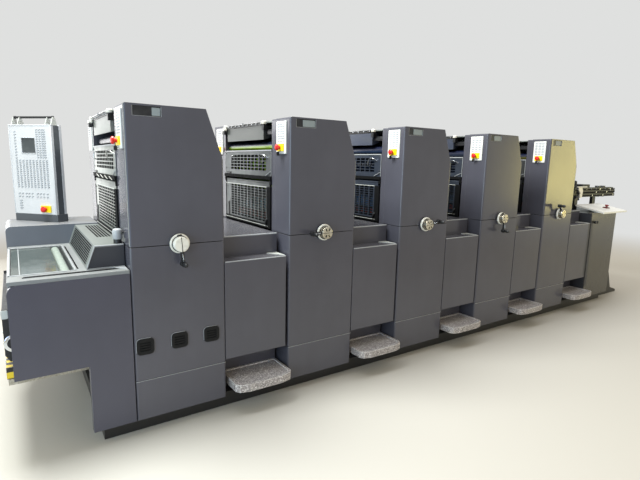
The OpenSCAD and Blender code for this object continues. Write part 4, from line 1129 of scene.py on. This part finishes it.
class PRESS_OT_feeder(PressOperator, bpy.types.Operator):
    """Knobs and painted shade in the gaps of the feeder panel, and the fittings of the suction
    head
    """

    bl_idname = "press.feeder"
    bl_label = "Feeder details"

    def execute(self, context):
        knob = turned([(0, -1), (7, -1), (8, 6), (13, 10), (14, 22), (11, 27), (0, 28)],
                      (0, 0, 0), (0, -1, 0), 24)
        knobs = repeated(knob, [(4432, 0, 866), (4473, 0, 865)])
        post = turned([(0, 0), (16, 0), (18, 8), (14, 30), (20, 40), (18, 66), (8, 74),
                       (0, 75)], (4462, 246, 1200), (0, 0, 1), 20)
        grip = rod([(LEVER_X - 30, 216, 1100), (LEVER_X, 210, 1104), (LEVER_X + 26, 214, 1112)],
                   13, 14)
        lever = joined(
            plate((LEVER_X, 212, 1203), (LEVER_X + 190, 226, 1213), "y", 4),
            carried([(20, 0), (84, -2), (108, 40), (96, 108), (52, 112), (58, 62), (22, 30)],
                    (LEVER_X, 212, 1205), (LEVER_X, 224, 1205), (1, 0, 0)))
        bands, lines, bright = [], [], []
        for z, h in ((1106, 13), (1139, 16), (1172, 12)):
            bands.append(plate((4478, 226.4, z), (5314, 229.4, z + h), "y", 2))
            lines.append(plate((4484, 225.8, z + h + 3), (5310, 229.4, z + h + 6.5), "y", 1))
        for k, x in enumerate(np.linspace(4800, 5270, 7)):
            z = (1112, 1146, 1178)[k % 3]
            bright.append(plate((x, 223, z - 6), (x + 15, 229, z + 11), "y", 3))
        # Painted shade: dark plates in and beside the gaps of the feeder panel
        shade = joined(plate((4382.5, 4, 86), (4386, 1160, 954), "x", 1),
                       plate((4387, -0.8, 200), (4424, 0.4, 852), "y", 1),
                       plate((4340, -0.8, 320), (4363, 0.4, 852), "y", 1))
        rods = joined(*[straight((LEVER_X, y, z), (5290, y, z), r, 10)
                        for y, z, r in ((330, 1168, 9), (330, 1120, 7), (835, 1168, 9),
                                        (580, 1210, 8))])
        cups = repeated(turned([(0, 0), (13, 0), (16, 8), (10, 14), (9, 34), (0, 34)],
                               (0, 0, 1036), (0, 0, 1), 18),
                        [(5002, y, 0) for y in (470, 545, 620, 695)])
        blocks = joined(*[plate((x, y, 1092), (x + 44, y + 44, 1214), "z", 6)
                          for x in (5008, 5118) for y in (262, 859)])
        screws = joined(*[screw((x, 229.0, 1184.0), (0, -1, 0), 6)
                          for x in np.linspace(4480, 5280, 9)])
        piece("feeder_fittings",
              [("black", joined(knobs, post, grip)), ("ivory", lever),
               ("steel", joined(rods, screws)), ("dark", shade),
               ("rubber", joined(cups, *bands)), ("steel", joined(*bright)),
               ("gunmetal", joined(blocks, *lines))])
        return {"FINISHED"}


# Camera: place in the press's millimetres; yaw, pitch and roll in degrees; sensor in
# millimetres; focal length and width of the photograph in pixels
CAMERA_AT = (-436.6, -2280.0, 1395.9)
CAMERA_TURN = (33.864, 9.557, -1.27)
SENSOR, FOCAL_PX, PHOTO_W = 36.0, 456.354, 640.0
BACKDROP = linear("dfe0df")
WORLD_LIGHT = 0.98
# Name, place and aim in metres, watts, size in metres and colour of each lamp
LAMPS = (
    ("window", (-4.9, -1.51, 1.2), (-1.6, -0.4, 1.0), 33, (1.8, 1.8), (0.75, 1, 0.95)),
    ("blue_window", (-4.2, -2.3, 1.3), (-1.0, -0.4, 1.0), 27, (1.2, 1.6), (0.4, 0.62, 1)),
    ("roof_light", (-3.0, 0.1, 4.4), (-1.2, -0.3, 1.2), 390, (1.5, 1.5), (0.97, 0.98, 0.92)),
    ("rear_window", (-3.8, 4.4, 1.5), (-2.4, -0.6, 1.2), 38, (1.3, 2.6), (1, 1, 1)),
    ("ceiling", (0.3, -0.2, 5.5), (0.3, 0.1, 0.0), 165, (7.0, 2.0), (0.85, 0.9, 1)),
    ("warm_door", (8.6, -4.6, 1.35), (1.35, -0.6, 1.3), 54, (1.2, 1.9), (1, 0.86, 0.28)),
)


class PRESS_OT_stage(PressOperator, bpy.types.Operator):
    """Pale floor, soft lamps, plain surroundings, and the camera where the photograph was taken"""

    bl_idname = "press.stage"
    bl_label = "Stage, lamps and camera"

    def execute(self, context):
        scene = context.scene
        scene.view_settings.view_transform = "Standard"
        half, low = 30.0, -0.001
        mesh = bpy.data.meshes.new("floor")
        mesh.from_pydata([(-half, -half, low), (half, -half, low), (half, half, low),
                          (-half, half, low)], [], [(0, 1, 2, 3)])
        floor = bpy.data.objects.new("floor", mesh)
        scene.collection.objects.link(floor)
        finish, tree, shader, place = new_finish("Pale floor", linear("a8a7a3"), 0.6)
        away = add(tree, "VectorMath", {0: place}, "Value", operation="LENGTH")
        far = add(tree, "MapRange", {"Value": away, "From Min": 4.6, "From Max": 9.0},
                  interpolation_type="SMOOTHSTEP")
        glow = add(tree, "Emission", {"Color": BACKDROP, "Strength": 1.0})
        faded = add(tree, "MixShader", {0: far, 1: shader.outputs[0], 2: glow})
        tree.links.new(faded, tree.nodes["Material Output"].inputs["Surface"])
        mesh.materials.append(finish)

        world = bpy.data.worlds.new("Plain surroundings")
        scene.world = world
        world.use_nodes = True
        tree = world.node_tree
        tree.nodes.clear()
        seen = 0.0
        for ray in ("Is Camera Ray", "Is Glossy Ray", "Is Transmission Ray"):
            seen = add(tree, "Math", {0: seen, 1: add(tree, "LightPath", {}, ray)},
                       operation="MAXIMUM")
        light = add(tree, "Background", {"Color": linear("fff0d4"), "Strength": WORLD_LIGHT})
        shown = add(tree, "Background", {"Color": BACKDROP, "Strength": 1.0})
        mixed = add(tree, "MixShader", {0: seen, 1: light, 2: shown})
        output = tree.nodes.new("ShaderNodeOutputWorld")
        tree.links.new(mixed, output.inputs["Surface"])

        for name, place, aim, power, size, colour in LAMPS:
            data = bpy.data.lights.new(name, "AREA")
            data.energy = power
            data.shape = "RECTANGLE"
            data.size, data.size_y = size
            data.color = colour
            obj = bpy.data.objects.new(name, data)
            scene.collection.objects.link(obj)
            obj.visible_camera = False
            z = np.array(place, float) - aim
            z /= np.linalg.norm(z)
            x = np.cross([0, 0, 1.0], z)
            x /= np.linalg.norm(x)
            basis = np.stack([x, np.cross(z, x), z], 1)
            obj.matrix_world = Matrix.Translation(place) @ Matrix(basis.tolist()).to_4x4()

        yaw, pitch, roll = (math.radians(v) for v in CAMERA_TURN)
        ahead = np.array([math.sin(yaw) * math.cos(pitch), math.cos(yaw) * math.cos(pitch),
                          -math.sin(pitch)])
        level = np.array([math.cos(yaw), -math.sin(yaw), 0.0])
        down = np.cross(ahead, level)
        right = math.cos(roll) * level + math.sin(roll) * down
        down = -math.sin(roll) * level + math.cos(roll) * down
        basis = Matrix(np.stack([right, -down, -ahead], 1).tolist()).to_4x4()
        camera = bpy.data.objects.new("camera", bpy.data.cameras.new("camera"))
        scene.collection.objects.link(camera)
        place = np.array(CAMERA_AT) * MM + ZERO
        camera.matrix_world = Matrix.Translation(place.tolist()) @ basis
        camera.data.sensor_width = SENSOR
        camera.data.sensor_fit = "HORIZONTAL"
        camera.data.lens = SENSOR * FOCAL_PX / PHOTO_W
        camera.data.clip_end = 200.0
        scene.camera = camera
        return {"FINISHED"}


class PRESS_PT_panel(bpy.types.Panel):
    """Lists the steps, sizes and colours in the sidebar"""

    bl_label = "Printing press"
    bl_space_type = "VIEW_3D"
    bl_region_type = "UI"
    bl_category = "Press"

    def draw(self, context):
        for step in STEPS:
            self.layout.operator(step.bl_idname)
        for group in (context.scene.press_sizes, context.scene.press_colours):
            for key in group.bl_rna.properties.keys():
                if key not in ("rna_type", "name"):
                    self.layout.prop(group, key)


STEPS = (PRESS_OT_finishes, PRESS_OT_key_panels, PRESS_OT_handwheels, PRESS_OT_guards,
         PRESS_OT_ink_units, PRESS_OT_covers, PRESS_OT_links, PRESS_OT_delivery, PRESS_OT_console,
         PRESS_OT_feeder, PRESS_OT_stage)
CLASSES = (PressColours, PressSizes) + STEPS + (PRESS_PT_panel,)


def register():
    for cls in CLASSES:
        bpy.utils.register_class(cls)
    bpy.types.Scene.press_colours = PointerProperty(type=PressColours)
    bpy.types.Scene.press_sizes = PointerProperty(type=PressSizes)


def unregister():
    del bpy.types.Scene.press_sizes
    del bpy.types.Scene.press_colours
    for cls in reversed(CLASSES):
        bpy.utils.unregister_class(cls)


def main():
    """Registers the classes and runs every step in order."""
    register()
    for step in STEPS:
        group, name = step.bl_idname.split(".")
        result = getattr(getattr(bpy.ops, group), name)()
        if result != {"FINISHED"}:
            raise RuntimeError(f"{step.bl_idname} did not finish")


if __name__ == "__main__":
    main()
